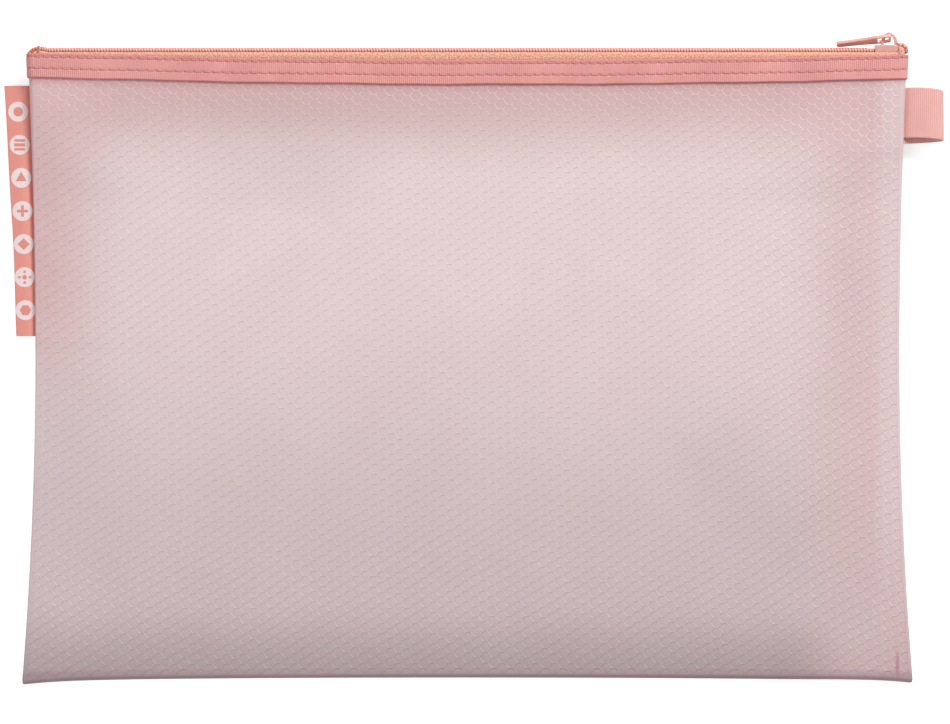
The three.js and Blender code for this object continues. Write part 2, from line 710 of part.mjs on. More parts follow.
function sliderGeometry() {
  const rear = -SLIDER_LENGTH / 2;
  const head = SLIDER_LENGTH / 2;
  const rearHalf = REAR_HALF + SLIDER_WALL;
  const headHalf = HEAD_HALF + SLIDER_WALL;
  const outline = sliderOutline(rearHalf, headHalf, SLIDER_CORNER, rear, head);
  const channel = sliderOutline(REAR_HALF, HEAD_HALF, 0.01, rear - 1, head + 1);
  const topPlate = solidOf(slab(outline, SLOT_CLEARANCE, PLATE_TOP, 4));
  const hollow = solidOf(slab(channel, SLOT_CLEARANCE - 1, CHANNEL_TOP, 4));
  const bottomPlate = solidOf(slab(outline, CHANNEL_BOTTOM - SLIDER_PLATE, CHANNEL_BOTTOM, 4));
  const post = new THREE.Shape();
  post.moveTo(head - DIVIDER_LENGTH, -CHAIN_GAP / 3);
  post.lineTo(head - DIVIDER_LENGTH / 2, -DIVIDER_HALF);
  post.lineTo(head - DIVIDER_INSET, -DIVIDER_HALF);
  post.lineTo(head - DIVIDER_INSET, DIVIDER_HALF);
  post.lineTo(head - DIVIDER_LENGTH / 2, DIVIDER_HALF);
  post.lineTo(head - DIVIDER_LENGTH, CHAIN_GAP / 3);
  const divider = solidOf(slab(post, CHANNEL_BOTTOM - JOIN_DEPTH, CHANNEL_TOP + JOIN_DEPTH, 1));
  return geometryOf(topPlate.subtract(hollow).add(bottomPlate).add(divider).add(crownSolid()));
}

// The arch over the slider that holds the puller
function crownSolid() {
  const foot = PLATE_TOP - JOIN_DEPTH;
  const shape = new THREE.Shape();
  shape.moveTo(CROWN_LENGTH / 2, foot);
  shape.lineTo(CROWN_LENGTH / 2, PLATE_TOP);
  shape.absellipse(0, PLATE_TOP, CROWN_LENGTH / 2, CROWN_HEIGHT, 0, Math.PI, false);
  shape.lineTo(-CROWN_LENGTH / 2, foot);
  shape.lineTo(-CROWN_LENGTH / 2 + CROWN_BAR, foot);
  shape.lineTo(-CROWN_LENGTH / 2 + CROWN_BAR, PLATE_TOP);
  shape.absellipse(0, PLATE_TOP, CROWN_LENGTH / 2 - CROWN_BAR, CROWN_HEIGHT - CROWN_BAR, Math.PI, 0, true);
  shape.lineTo(CROWN_LENGTH / 2 - CROWN_BAR, foot);
  const arch = new THREE.ExtrudeGeometry(shape, {
    depth: CROWN_WIDTH,
    bevelEnabled: false,
    curveSegments: 10,
  });
  arch.translate(CROWN_FORWARD, 0, -CROWN_WIDTH / 2);
  return solidOf(arch);
}

// Puller, in a frame at its hinge: x away from the tip, y out of the pouch, z along the hinge

function pullerGeometry() {
  const half = PULLER_WIDTH / 2;
  const end = PULLER_BAR / 2;
  const plate = new THREE.Shape();
  plate.moveTo(end - BAR_CORNER, -half);
  plate.quadraticCurveTo(end, -half, end, -half + BAR_CORNER);
  plate.lineTo(end, half - BAR_CORNER);
  plate.quadraticCurveTo(end, half, end - BAR_CORNER, half);
  const tipX = -(PULLER_LENGTH - end - TIP_RADIUS);
  plate.lineTo(-EYE_LENGTH - SHOULDER_LENGTH, half);
  plate.quadraticCurveTo(-PULLER_LENGTH / 2, half * PULLER_WAIST, tipX, TIP_RADIUS);
  plate.absarc(tipX, 0, TIP_RADIUS, Math.PI / 2, (3 * Math.PI) / 2, false);
  plate.quadraticCurveTo(-PULLER_LENGTH / 2, -half * PULLER_WAIST, -EYE_LENGTH - SHOULDER_LENGTH, -half);
  const window = new THREE.Shape();
  const gap = CROWN_WIDTH / 2 + EYE_CLEARANCE;
  window.moveTo(-end, -gap);
  window.lineTo(-end, gap);
  window.lineTo(-EYE_LENGTH + EYE_CORNER, gap);
  window.quadraticCurveTo(-EYE_LENGTH, gap, -EYE_LENGTH, gap - EYE_CORNER);
  window.lineTo(-EYE_LENGTH, -gap + EYE_CORNER);
  window.quadraticCurveTo(-EYE_LENGTH, -gap, -EYE_LENGTH + EYE_CORNER, -gap);
  const thick = PULLER_THICKNESS / 2;
  const body = solidOf(slab(plate, -thick, thick, 4));
  const eye = solidOf(slab(window, -thick - 1, thick + 1, 3));
  return geometryOf(body.subtract(eye));
}

// Materials

function material(colour, roughness, metalness = 0) {
  return new THREE.MeshStandardMaterial({ color: colour, roughness, metalness });
}

const filmMaterial = material(0xddcbcc, 0.45);
filmMaterial.transparent = true;
filmMaterial.opacity = 0.6;
const ribbonMaterial = material(0xdf9f9a, 0.8);
const tapeMaterial = material(0xe9b5a2, 0.85);
const coilMaterial = material(0xe8a592, 0.4);
const threadMaterial = material(0xd98e8a, 0.7);
const seamTapeMaterial = material(0xe59ea3, 0.85);
const satinMaterial = material(0xe08f85, 0.5);
const paintedMetal = material(0xdc9a92, 0.35, 0.3);

// Assembly

const pouch = new THREE.Group();

function add(name, geometry, look, parent = pouch) {
  const mesh = new THREE.Mesh(geometry, look);
  mesh.name = name;
  parent.add(mesh);
  return mesh;
}

add("film_body", filmGeometry(), filmMaterial);
for (const [name, turn] of [["front", 0], ["back", Math.PI]]) {
  add(`${name}_ribbon`, ribbonGeometry(turn), ribbonMaterial);
  add(`${name}_zipper_tape`, tapeGeometry(turn), tapeMaterial);
  add(`${name}_coil`, coilGeometry(turn === 0 ? 1 : -1), coilMaterial);
  add(`${name}_upper_stitches`, ribbonStitches(turn, UPPER_ROW), threadMaterial);
  add(`${name}_lower_stitches`, ribbonStitches(turn, LOWER_ROW), threadMaterial);
}
for (const [name, side] of [["left", -1], ["right", 1]]) {
  add(`${name}_seam_tape`, seamTapeGeometry(side), seamTapeMaterial);
  add(`${name}_seam_front_stitches`, seamStitches(side, 1), threadMaterial);
  add(`${name}_seam_back_stitches`, seamStitches(side, -1), threadMaterial);
}
add("zipper_end_tack", tackGeometry(), threadMaterial);
add("ribbon_loop", loopGeometry(), ribbonMaterial);
add("side_label", labelGeometry(), satinMaterial);

const slider = new THREE.Group();
slider.position.set(SLIDER_X, CHAIN_Y, MOUTH_Z);
pouch.add(slider);
add("slider_body", sliderGeometry(), paintedMetal, slider);

const hinge = new THREE.Group();
hinge.position.set(CROWN_FORWARD + HINGE_FORWARD, PLATE_TOP + HINGE_LIFT, 0);
const tipDrop = PLATE_TOP + HINGE_LIFT - COIL_TOP - LAYER_GAP - PULLER_THICKNESS / 2;
hinge.rotation.z = Math.asin(tipDrop / (PULLER_LENGTH - PULLER_BAR));
slider.add(hinge);
add("puller", pullerGeometry(), paintedMetal, hinge);

export default pouch;
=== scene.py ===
# A zipper pouch for A4 papers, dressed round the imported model: net-reinforced film, grosgrain ribbons,
# a coil zipper, a painted slider and puller, a ribbon loop and a folded satin label.
# Lengths are in millimetres and become metres where a mesh is made. +X right, +Y towards the zipper, +Z up.
import math

import bmesh
import bpy
import numpy as np
from mathutils import Matrix, Vector


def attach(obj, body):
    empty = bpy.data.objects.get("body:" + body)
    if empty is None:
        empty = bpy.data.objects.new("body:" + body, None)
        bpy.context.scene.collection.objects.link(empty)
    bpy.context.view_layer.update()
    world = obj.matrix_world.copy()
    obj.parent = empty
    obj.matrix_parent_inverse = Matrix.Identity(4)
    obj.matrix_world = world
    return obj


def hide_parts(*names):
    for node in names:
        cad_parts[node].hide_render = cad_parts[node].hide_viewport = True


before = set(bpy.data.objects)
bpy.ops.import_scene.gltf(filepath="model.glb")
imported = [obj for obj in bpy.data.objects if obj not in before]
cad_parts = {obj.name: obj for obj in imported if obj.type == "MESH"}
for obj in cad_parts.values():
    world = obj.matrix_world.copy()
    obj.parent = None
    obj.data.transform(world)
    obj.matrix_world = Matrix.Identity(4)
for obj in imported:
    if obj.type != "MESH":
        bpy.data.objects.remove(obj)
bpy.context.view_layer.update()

MM = 0.001
# A wave texture repeats at every length of WAVE_UNIT over its scale.
WAVE_UNIT = 2 * math.pi / 20
# Beyond everything in the scene
FAR = 1000

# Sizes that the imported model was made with
WAIST_WIDTH = 329.6
POUCH_HEIGHT = 237.4
MOUTH_FLARE = 2.6
EAR_FLARE = 4.9
FOLD_SAG = 1
FOLD_TIP = 1.5
FOLD_TIP_POWER = 12
WAIST_Y = 5
FILM = 0.4
RIBBON = 0.5
TAPE = 0.5
SEAM_TAPE = 0.35
SATIN = 0.25
THREAD = 0.25
LAYER_GAP = 0.15
THREAD_GAP = 0.1
TABLE_GAP = 0.05
MOUTH_HALF = 5.25
MOUTH_SEAM_HALF = 5
FOLD_HALF = 1.75
BELLY = 1.2
SEAM_LEVEL = 2.43
FLAT_SHARE = 0.55
FLAT_LIFT_POWER = 2.5
CROWN_POWER = 4
MOUTH_POWER = 24
FLAT_TOP_DROP = 21.15
RIBBON_STEP = 6.5
SEAM_OPENS_DROP = 59.15
SEAM_RISES_DROP = 139.15
MOUTH_BAND = 8
ALLOWANCE = 4.2
RETURN_HALF_GAP = 0.1
CAUGHT_MARGIN = 1.5
CAUGHT_RAMP = 4
SEAM_STITCH_INSET = 1
SEAM_TOP_DROP = 7
COIL_HEIGHT = 1.75
COIL_WIDTH = 1.93
CHAIN_GAP = 0.24
TAPE_BEND = 1.4
TAPE_DEPTH = 11.6
FILM_TOP_DROP = 3.4
FILM_UNDER_RIBBON = 1.2
RIBBON_WIDTH = 9.3
RIBBON_SAG = 2.35
RIBBON_LEFT_DROP = 0.15
RIBBON_RIGHT_DROP = 0.9
LEFT_BUMP_LENGTH = 4.3
LEFT_CORNER_RADIUS = 3
CHAIN_END_INSET = 0.9
CORNER_SHARE = 0.97
SLIDER_LENGTH = 8.8
SLIDER_END_GAP = 3.6
SLIDER_PLATE = 0.9
SLIDER_WALL = 0.5
SLIDER_CLEARANCE = 0.2
TAPE_CLEARANCE = 0.25
SLIDER_CORNER = 0.9
SLIDER_WAIST = 0.35
SLOT_CLEARANCE = 0.3
DIVIDER_HALF = 0.6
DIVIDER_LENGTH = 2.8
SPREAD_LENGTH = 2.9
CROWN_WIDTH = 1.8
CROWN_LENGTH = 6
CROWN_HEIGHT = 4.7
CROWN_BAR = 1.05
CROWN_FORWARD = 1.3
PULLER_LENGTH = 21
PULLER_WIDTH = 4.6
PULLER_THICKNESS = 1.3
PULLER_BAR = 0.95
EYE_LENGTH = 4.6
EYE_CORNER = 0.5
BAR_CORNER = 0.5
SHOULDER_LENGTH = 1.5
PULLER_WAIST = 0.7
HINGE_FORWARD = 0.2
HINGE_LIFT = 2.6
UPPER_ROW = 1.2
LOWER_ROW = 5.6
LOOP_WIDTH = 19.2
LOOP_TOP_DROP = 13.85
LOOP_REACH = 15
LOOP_HALF_HEIGHT = 3.2
LOOP_SKEW = 2.2
LOOP_TAIL = 3
LABEL_LENGTH = 95.5
LABEL_TOP_DROP = 12.45
LABEL_REACH_TOP = 9.8
LABEL_REACH_BOTTOM = 7.2
LABEL_TAIL = 3
TACK_INSET = 2.6
TACK_LENGTH = 1

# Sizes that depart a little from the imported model
FOLD_EASE = 0.8
FOLD_RIGHT_EASE = 0.65
FOLD_RIGHT_START = 0.7
LEFT_BUMP = 0.65
RIGHT_BUMP = 2.2
RIGHT_BUMP_LENGTH = 0.65
RIGHT_CORNER_RADIUS = 2
TAPE_RAISE = 0.25
CROWN_FULL = 0.3
TIP_RADIUS = 1.5
EYE_CLEARANCE = 0.55
PULLER_TILT = 28
PULLER_RAISE = 0.6
LOOP_ARCH = 0.48
LOOP_RAISE = 0.6
LOOP_LEAN = 0.125
# Where along the loop, as shares of its length, its arch and its lean lie
ARCH_START = 0.08
ARCH_LENGTH = 0.84
LEAN_START = 0.2

CHAIN_Y = POUCH_HEIGHT / 2
BACK_LIFT = TABLE_GAP + THREAD_GAP + THREAD + RIBBON + LAYER_GAP
MOUTH_Z = BACK_LIFT + MOUTH_HALF
SEAM_STACK = FILM + LAYER_GAP + SEAM_TAPE + THREAD_GAP + THREAD + THREAD_GAP + FILM
COIL_TOP = LAYER_GAP + COIL_HEIGHT
COIL_LEVEL = LAYER_GAP + COIL_HEIGHT / 2
COIL_SIDE = CHAIN_GAP / 2 + COIL_WIDTH
TAPE_EDGE = DIVIDER_HALF + LAYER_GAP
MOUTH_START = CHAIN_Y - MOUTH_BAND
LOOP_TOP_Y = CHAIN_Y - LOOP_TOP_DROP
LABEL_TOP_Y = CHAIN_Y - LABEL_TOP_DROP
CHANNEL_TOP = COIL_TOP + SLIDER_CLEARANCE
CHANNEL_BOTTOM = -TAPE - TAPE_CLEARANCE
PLATE_TOP = CHANNEL_TOP + SLIDER_PLATE
HEM_LEVEL = CHAIN_Y - RIBBON_SAG - RIBBON_WIDTH

# Sizes of the surface detail
CELL_WIDTH = 5.0
CELL_EDGE = 0.35
CELL_PITCH_X = 3.23
CELL_PITCH_Y = 3.9
CELL_CORNERS = 6
NET_THREAD = 0.2
NET_RISE = 0.07
# The net wanders by NET_BROAD over some cells and by NET_FINE from cell to cell.
NET_BROAD = 0.35
NET_FINE = 0.16
NET_CALM = 8
CELL_RIM = 0.74
CELL_SWELL = 0.03
CELL_VARIES = 0.02
CELL_TOP_GAP = 0.5
FLOOR_GAP = 0.06
RIM_SINK = 0.12
BACK_SINK = CELL_SWELL + CELL_VARIES + FLOOR_GAP
RIM_OVERLAP = 4.0
# The rim's rows of points above the fold, and how near the fold and the sides it comes up to the film
RIM_ROWS = (RIM_OVERLAP, 2.5, 1.2, 0.4)
RIM_UP_FOLD = 1.2
RIM_UP_SIDE = 1.5
RIB_PITCH = 0.76
RIB_STEPS = 4
RIB_DEPTH = 0.1
EDGE_DROP = 0.2
EDGE_ROUND = 0.14
SELVEDGE = 0.45
LOOP_EDGE_ROUND = 0.12
LOOP_SELVEDGE = 0.5
RIBBON_INSIDE = 0.6 * LAYER_GAP
RIBBON_CAUGHT = 2 / 3
UPPER_PITCH = 3.3
LOWER_PITCH = 3.6
SEAM_PITCH = 3.4
STITCHES_BEYOND = 1.5
STITCH_SINK = 0.02
STITCH_RADIUS = 0.17
SEAM_RADIUS = 0.15
GROOVE_DEPTH = 0.1
GROOVE_HALF = 0.32
HOLE_DEPTH = 0.24
HOLE_HALF = 0.38
HOLE_SHADE_REACH = 0.55
HOLE_SHIFT = 0.45
COIL_PITCH = 1.105
COIL_STEPS = 12
COIL_END_INSET = 0.5
COIL_CROWDING = 1.1
COIL_LEFT_TAIL = 0.6
COIL_RIGHT_TAIL = 1.6
COIL_LOOK_AHEAD = 0.6
COIL_WIRE = 0.3
COIL_END_SWELL = 0.35
COIL_CORE = 0.36
COIL_THREAD = 0.1
COIL_SQUARENESS = 0.7
COIL_SEAM_START = 4
COIL_SEAM_END = 2
COIL_SEAM_ACROSS = 0.6
COIL_SEAM_RISE = 0.12
# How far the tape stops short of the chain's ends, and over what length there its points stand closer
TAPE_LEFT_INSET = 0.2
TAPE_RIGHT_INSET = 0.1
TAPE_LEFT_FINE = 9
TAPE_RIGHT_FINE = 3
TACK_WIRE = 0.11
TACK_LIFT = 0.16


def mix(a, b, t):
    return a + (b - a) * t


def smooth(a, b, v):
    t = np.clip((v - a) / (b - a), 0, 1)
    return t * t * (3 - 2 * t)


def stacked(*values):
    """Points from their coordinates, each a number or an array."""
    return np.stack(np.broadcast_arrays(*values), -1)


def in_line(*parts):
    """One row from numbers and rows laid end to end."""
    return np.concatenate([np.atleast_1d(part) for part in parts])


def run_length(path):
    """The length of a path up to each of its points."""
    return in_line(0, np.cumsum(np.linalg.norm(np.diff(path, axis=0), axis=1)))


def unit(v):
    return v / np.maximum(1e-9, np.linalg.norm(v, axis=-1, keepdims=True))


# Surface of the film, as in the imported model

# Steps across the film and up it, over which its slope is taken
SLOPE_ACROSS = 1e-4
SLOPE_UP = 0.02


def half_width(y):
    up = np.maximum(0, (y - WAIST_Y) / (CHAIN_Y - WAIST_Y))
    down = np.maximum(0, (WAIST_Y - y) / (CHAIN_Y + WAIST_Y))
    return WAIST_WIDTH / 2 + MOUTH_FLARE * up**2 + EAR_FLARE * down**2


def fold_line(across):
    s = np.minimum(1, np.abs(across))
    ease = FOLD_EASE - FOLD_RIGHT_EASE * smooth(FOLD_RIGHT_START, 1, across)
    return -CHAIN_Y - ease + FOLD_HALF - FOLD_SAG * s**2 - FOLD_TIP * s**FOLD_TIP_POWER


FOLD_Y = float(fold_line(0))


def return_half_gap(side, y):
    loop = (LOOP_TOP_Y - LOOP_WIDTH - LOOP_SKEW, LOOP_TOP_Y, RETURN_HALF_GAP + RIBBON + LAYER_GAP)
    label = (LABEL_TOP_Y - LABEL_LENGTH, LABEL_TOP_Y, RETURN_HALF_GAP + SATIN + LAYER_GAP)
    low, high, half = (np.where(side > 0, a, b) for a, b in zip(loop, label))
    below = (y - low + CAUGHT_MARGIN) / CAUGHT_RAMP + 1
    above = (high + CAUGHT_MARGIN - y) / CAUGHT_RAMP + 1
    return mix(RETURN_HALF_GAP, half, np.clip(np.minimum(below, above), 0, 1))


def seam_half(side, y):
    stitched = return_half_gap(side, y) + SEAM_STACK
    return mix(stitched, MOUTH_SEAM_HALF, smooth(CHAIN_Y - SEAM_OPENS_DROP, MOUTH_START, y))


def seam_mid(y):
    return mix(SEAM_LEVEL, MOUTH_Z, smooth(CHAIN_Y - SEAM_RISES_DROP, MOUTH_START, y))


def turn_radius(side, y):
    return (seam_half(side, y) - return_half_gap(side, y)) / 2


def main_half_width(side, y):
    return half_width(y) - turn_radius(side, y)


def front_height(side, across, y):
    t = np.clip((y - FOLD_Y) / (MOUTH_START - FOLD_Y), 0, 1)
    crown = mix(2 * FOLD_HALF, MOUTH_Z + MOUTH_HALF, t) + BELLY * np.sin(math.pi * t)
    power = mix(CROWN_POWER, MOUTH_POWER, smooth(CHAIN_Y - SEAM_OPENS_DROP, MOUTH_START, y))
    return mix(crown, seam_mid(y) + seam_half(side, y), np.abs(across) ** power)


def back_height(side, across, y):
    flat_top = CHAIN_Y - FLAT_TOP_DROP
    flat = BACK_LIFT * smooth(flat_top, flat_top + RIBBON_STEP, y)
    lift = np.clip((np.abs(across) - FLAT_SHARE) / (1 - FLAT_SHARE), 0, 1) ** FLAT_LIFT_POWER
    return mix(flat, seam_mid(y) - seam_half(side, y), lift)


# Broad soft dents and swellings of the front: (x, y), half length, half width, turn and height
UNDULATIONS = [
    ((-60, 86), 62, 20, -8, -0.85),
    ((100, 74), 50, 22, 12, 0.4),
    ((118, -62), 78, 17, -42, -0.9),
    ((-20, 20), 90, 50, 0, 0.75),
    ((-110, -40), 40, 60, 10, 0.35),
    ((150, 30), 16, 80, 4, 0.5),
    ((-140, 40), 14, 90, -3, -0.4),
    ((20, -60), 60, 28, 30, 0.35),
]
# They fade out towards the fold, the ribbon and the sides, where CALM_SIDE is a share of the half width.
CALM_FOLD = 22
CALM_TOP = (88, 108)
CALM_SIDE = 0.86


def undulation(x, y):
    total = 0.0
    for (cx, cy), long, wide, turn, height in UNDULATIONS:
        c, s = math.cos(math.radians(turn)), math.sin(math.radians(turn))
        u = ((x - cx) * c + (y - cy) * s) / long
        v = (-(x - cx) * s + (y - cy) * c) / wide
        total = total + height * np.exp(-(u**2) - v**2)
    ends = smooth(FOLD_Y, FOLD_Y + CALM_FOLD, y) * (1 - smooth(*CALM_TOP, y))
    return total * ends * (1 - smooth(CALM_SIDE, 1.0, np.abs(x) / half_width(y)))


def shell_point(across, y, turn, wavy=False):
    """A point of the film's outer face. across is 1 where the turn into the seam starts, 2 where it ends and
    3 at the raw edge; turn is 0 on the front, pi on the back and between them round the fold."""
    side = np.where(across < 0, -1, 1)
    s = np.abs(across)
    inside = np.clip(across, -1, 1)
    half = main_half_width(side, y)
    top = front_height(side, inside, y) + (undulation(inside * half, y) if wavy else 0)
    bottom = back_height(side, inside, y)
    radius = turn_radius(side, y)
    angle = math.pi * np.clip(s - 1, 0, 1)
    flat = s <= 1
    turned = side * (half + radius * np.sin(angle) - ALLOWANCE * np.maximum(0, s - 2))
    mid = np.where(flat, (top + bottom) / 2, seam_mid(y))
    returned = return_half_gap(side, y) + radius + radius * np.cos(angle)
    away = np.where(flat, (top - bottom) / 2, returned)
    return stacked(np.where(flat, inside * half, turned), y - away * np.sin(turn), mid + away * np.cos(turn))


def film_normal(across, y, out):
    """Unit normals of the film's front (out 1) or back (out -1)."""
    turn = 0.0 if out > 0 else math.pi
    du = shell_point(across + SLOPE_ACROSS, y, turn) - shell_point(across - SLOPE_ACROSS, y, turn)
    dv = shell_point(across, y + SLOPE_UP, turn) - shell_point(across, y - SLOPE_UP, turn)
    return out * unit(np.cross(du, dv))


def beside_film(across, y, out, distance):
    """Points at a distance outside the film's front (out 1) or back (out -1)."""
    point = shell_point(across, y, 0.0 if out > 0 else math.pi)
    return point + film_normal(across, y, out) * np.asarray(distance)[..., None]


def ribbon_top(across):
    s = np.clip(across, -1, 1)
    drop = mix(RIBBON_LEFT_DROP, RIBBON_RIGHT_DROP, (s + 1) / 2)
    return CHAIN_Y - drop - RIBBON_SAG * (1 - s**2)


def film_top(across):
    return np.minimum(ribbon_top(across) - FILM_UNDER_RIBBON, CHAIN_Y - FILM_TOP_DROP)


# Meshes


def in_scene(name, data):
    """A new object in the scene for a mesh, a curve, a light or a camera."""
    holder = bpy.data.objects.new(name, data)
    bpy.context.scene.collection.objects.link(holder)
    return holder


def evaluated(piece):
    """The mesh of a curve, or of a piece with its modifiers applied."""
    return bpy.data.meshes.new_from_object(piece.evaluated_get(bpy.context.evaluated_depsgraph_get()))


def add_mesh(name, points, faces, looks, uvs=None, face_looks=None, shade=True):
    """An object from points in millimetres. faces is an array or a list of tuples, uvs one pair per point."""
    mesh = bpy.data.meshes.new(name)
    faces = faces.tolist() if isinstance(faces, np.ndarray) else faces
    mesh.from_pydata((np.asarray(points) * MM).tolist(), [], faces)
    for look in looks:
        mesh.materials.append(look)
    if uvs is not None:
        layer = mesh.uv_layers.new(name="cloth")
        corner = np.zeros(len(mesh.loops), np.int32)
        mesh.loops.foreach_get("vertex_index", corner)
        layer.data.foreach_set("uv", np.asarray(uvs, np.float32)[corner].ravel())
    if face_looks is not None:
        mesh.polygons.foreach_set("material_index", np.asarray(face_looks, np.int32))
    mesh.polygons.foreach_set("use_smooth", np.full(len(mesh.polygons), shade))
    mesh.update()
    return in_scene(name, mesh)


def reworked(piece, change):
    """The piece after a change that works on its mesh's vertices, edges and faces."""
    work = bmesh.new()
    work.from_mesh(piece.data)
    change(work)
    work.to_mesh(piece.data)
    work.free()
    return piece


def face_out(piece):
    """Turns the faces of a closed piece outwards."""
    return reworked(piece, lambda work: bmesh.ops.recalc_face_normals(work, faces=work.faces))


def grid_faces(rows, columns, offset=0, around=False):
    """Quads of a grid of points stored row by row. around joins the last column to the first."""
    i = np.arange(rows - 1)[:, None] * columns
    j = np.arange(columns if around else columns - 1)
    after = (j + 1) % columns
    return stacked(i + j, i + columns + j, i + columns + after, i + after).reshape(-1, 4) + offset


def closed_sheet(name, outer, inner, u, v, looks):
    """A sheet with two faces and four edges. outer and inner are (u, v, 3) grids, u and v lengths in mm."""
    nu, nv = outer.shape[:2]
    count = nu * nv
    index = np.arange(count).reshape(nu, nv)
    border = in_line(index[0, :], index[1:, -1], index[-1, -2::-1], index[-2:0:-1, 0])
    after = np.roll(border, -1)
    rim = stacked(border, after, after + count, border + count)
    faces = np.concatenate([grid_faces(nu, nv), grid_faces(nu, nv, count)[:, ::-1], rim])
    uv = stacked(u[:, None], v).reshape(-1, 2)
    points = np.concatenate([outer.reshape(-1, 3), inner.reshape(-1, 3)])
    return face_out(add_mesh(name, points, faces, looks, np.concatenate([uv, uv])))


def tubes(name, lines, sides, normals, radius, look):
    """Round threads along several lines, all in one piece, with closed ends. lines is a (count, steps, 3)
    array, normals the same or one direction, and radius a number or one for each step."""
    count, steps = lines.shape[:2]
    along = unit(np.gradient(lines, axis=1))
    across = unit(np.cross(along, normals))
    up = np.cross(across, along)
    angle = np.arange(sides) * 2 * math.pi / sides
    ring = across[:, :, None] * np.cos(angle)[:, None] + up[:, :, None] * np.sin(angle)[:, None]
    points = lines[:, :, None] + ring * np.broadcast_to(radius, steps)[None, :, None, None]
    starts = np.arange(count)[:, None, None] * steps * sides
    quads = (grid_faces(steps, sides, 0, True) + starts).reshape(-1, 4)
    first = np.arange(sides)
    caps = [first + starts[:, 0], first[::-1] + (steps - 1) * sides + starts[:, 0]]
    caps = np.stack(caps, 1).reshape(-1, sides)
    return face_out(add_mesh(name, points.reshape(-1, 3), quads.tolist() + caps.tolist(), [look]))


def dress(piece, body, slot, *nodes):
    """Puts a finished piece on its body and hides the imported solids that it stands for. slot is not used.
    """
    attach(piece, body)
    if nodes:
        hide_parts(*nodes)
    return piece


# Materials


def linear(r, g, b):
    """A colour written in screen values from 0 to 255."""
    return tuple((c / 255 / 12.92) if c <= 10 else ((c / 255 + 0.055) / 1.055) ** 2.4 for c in (r, g, b))


def tint(colour, share):
    return tuple(c * share for c in colour)


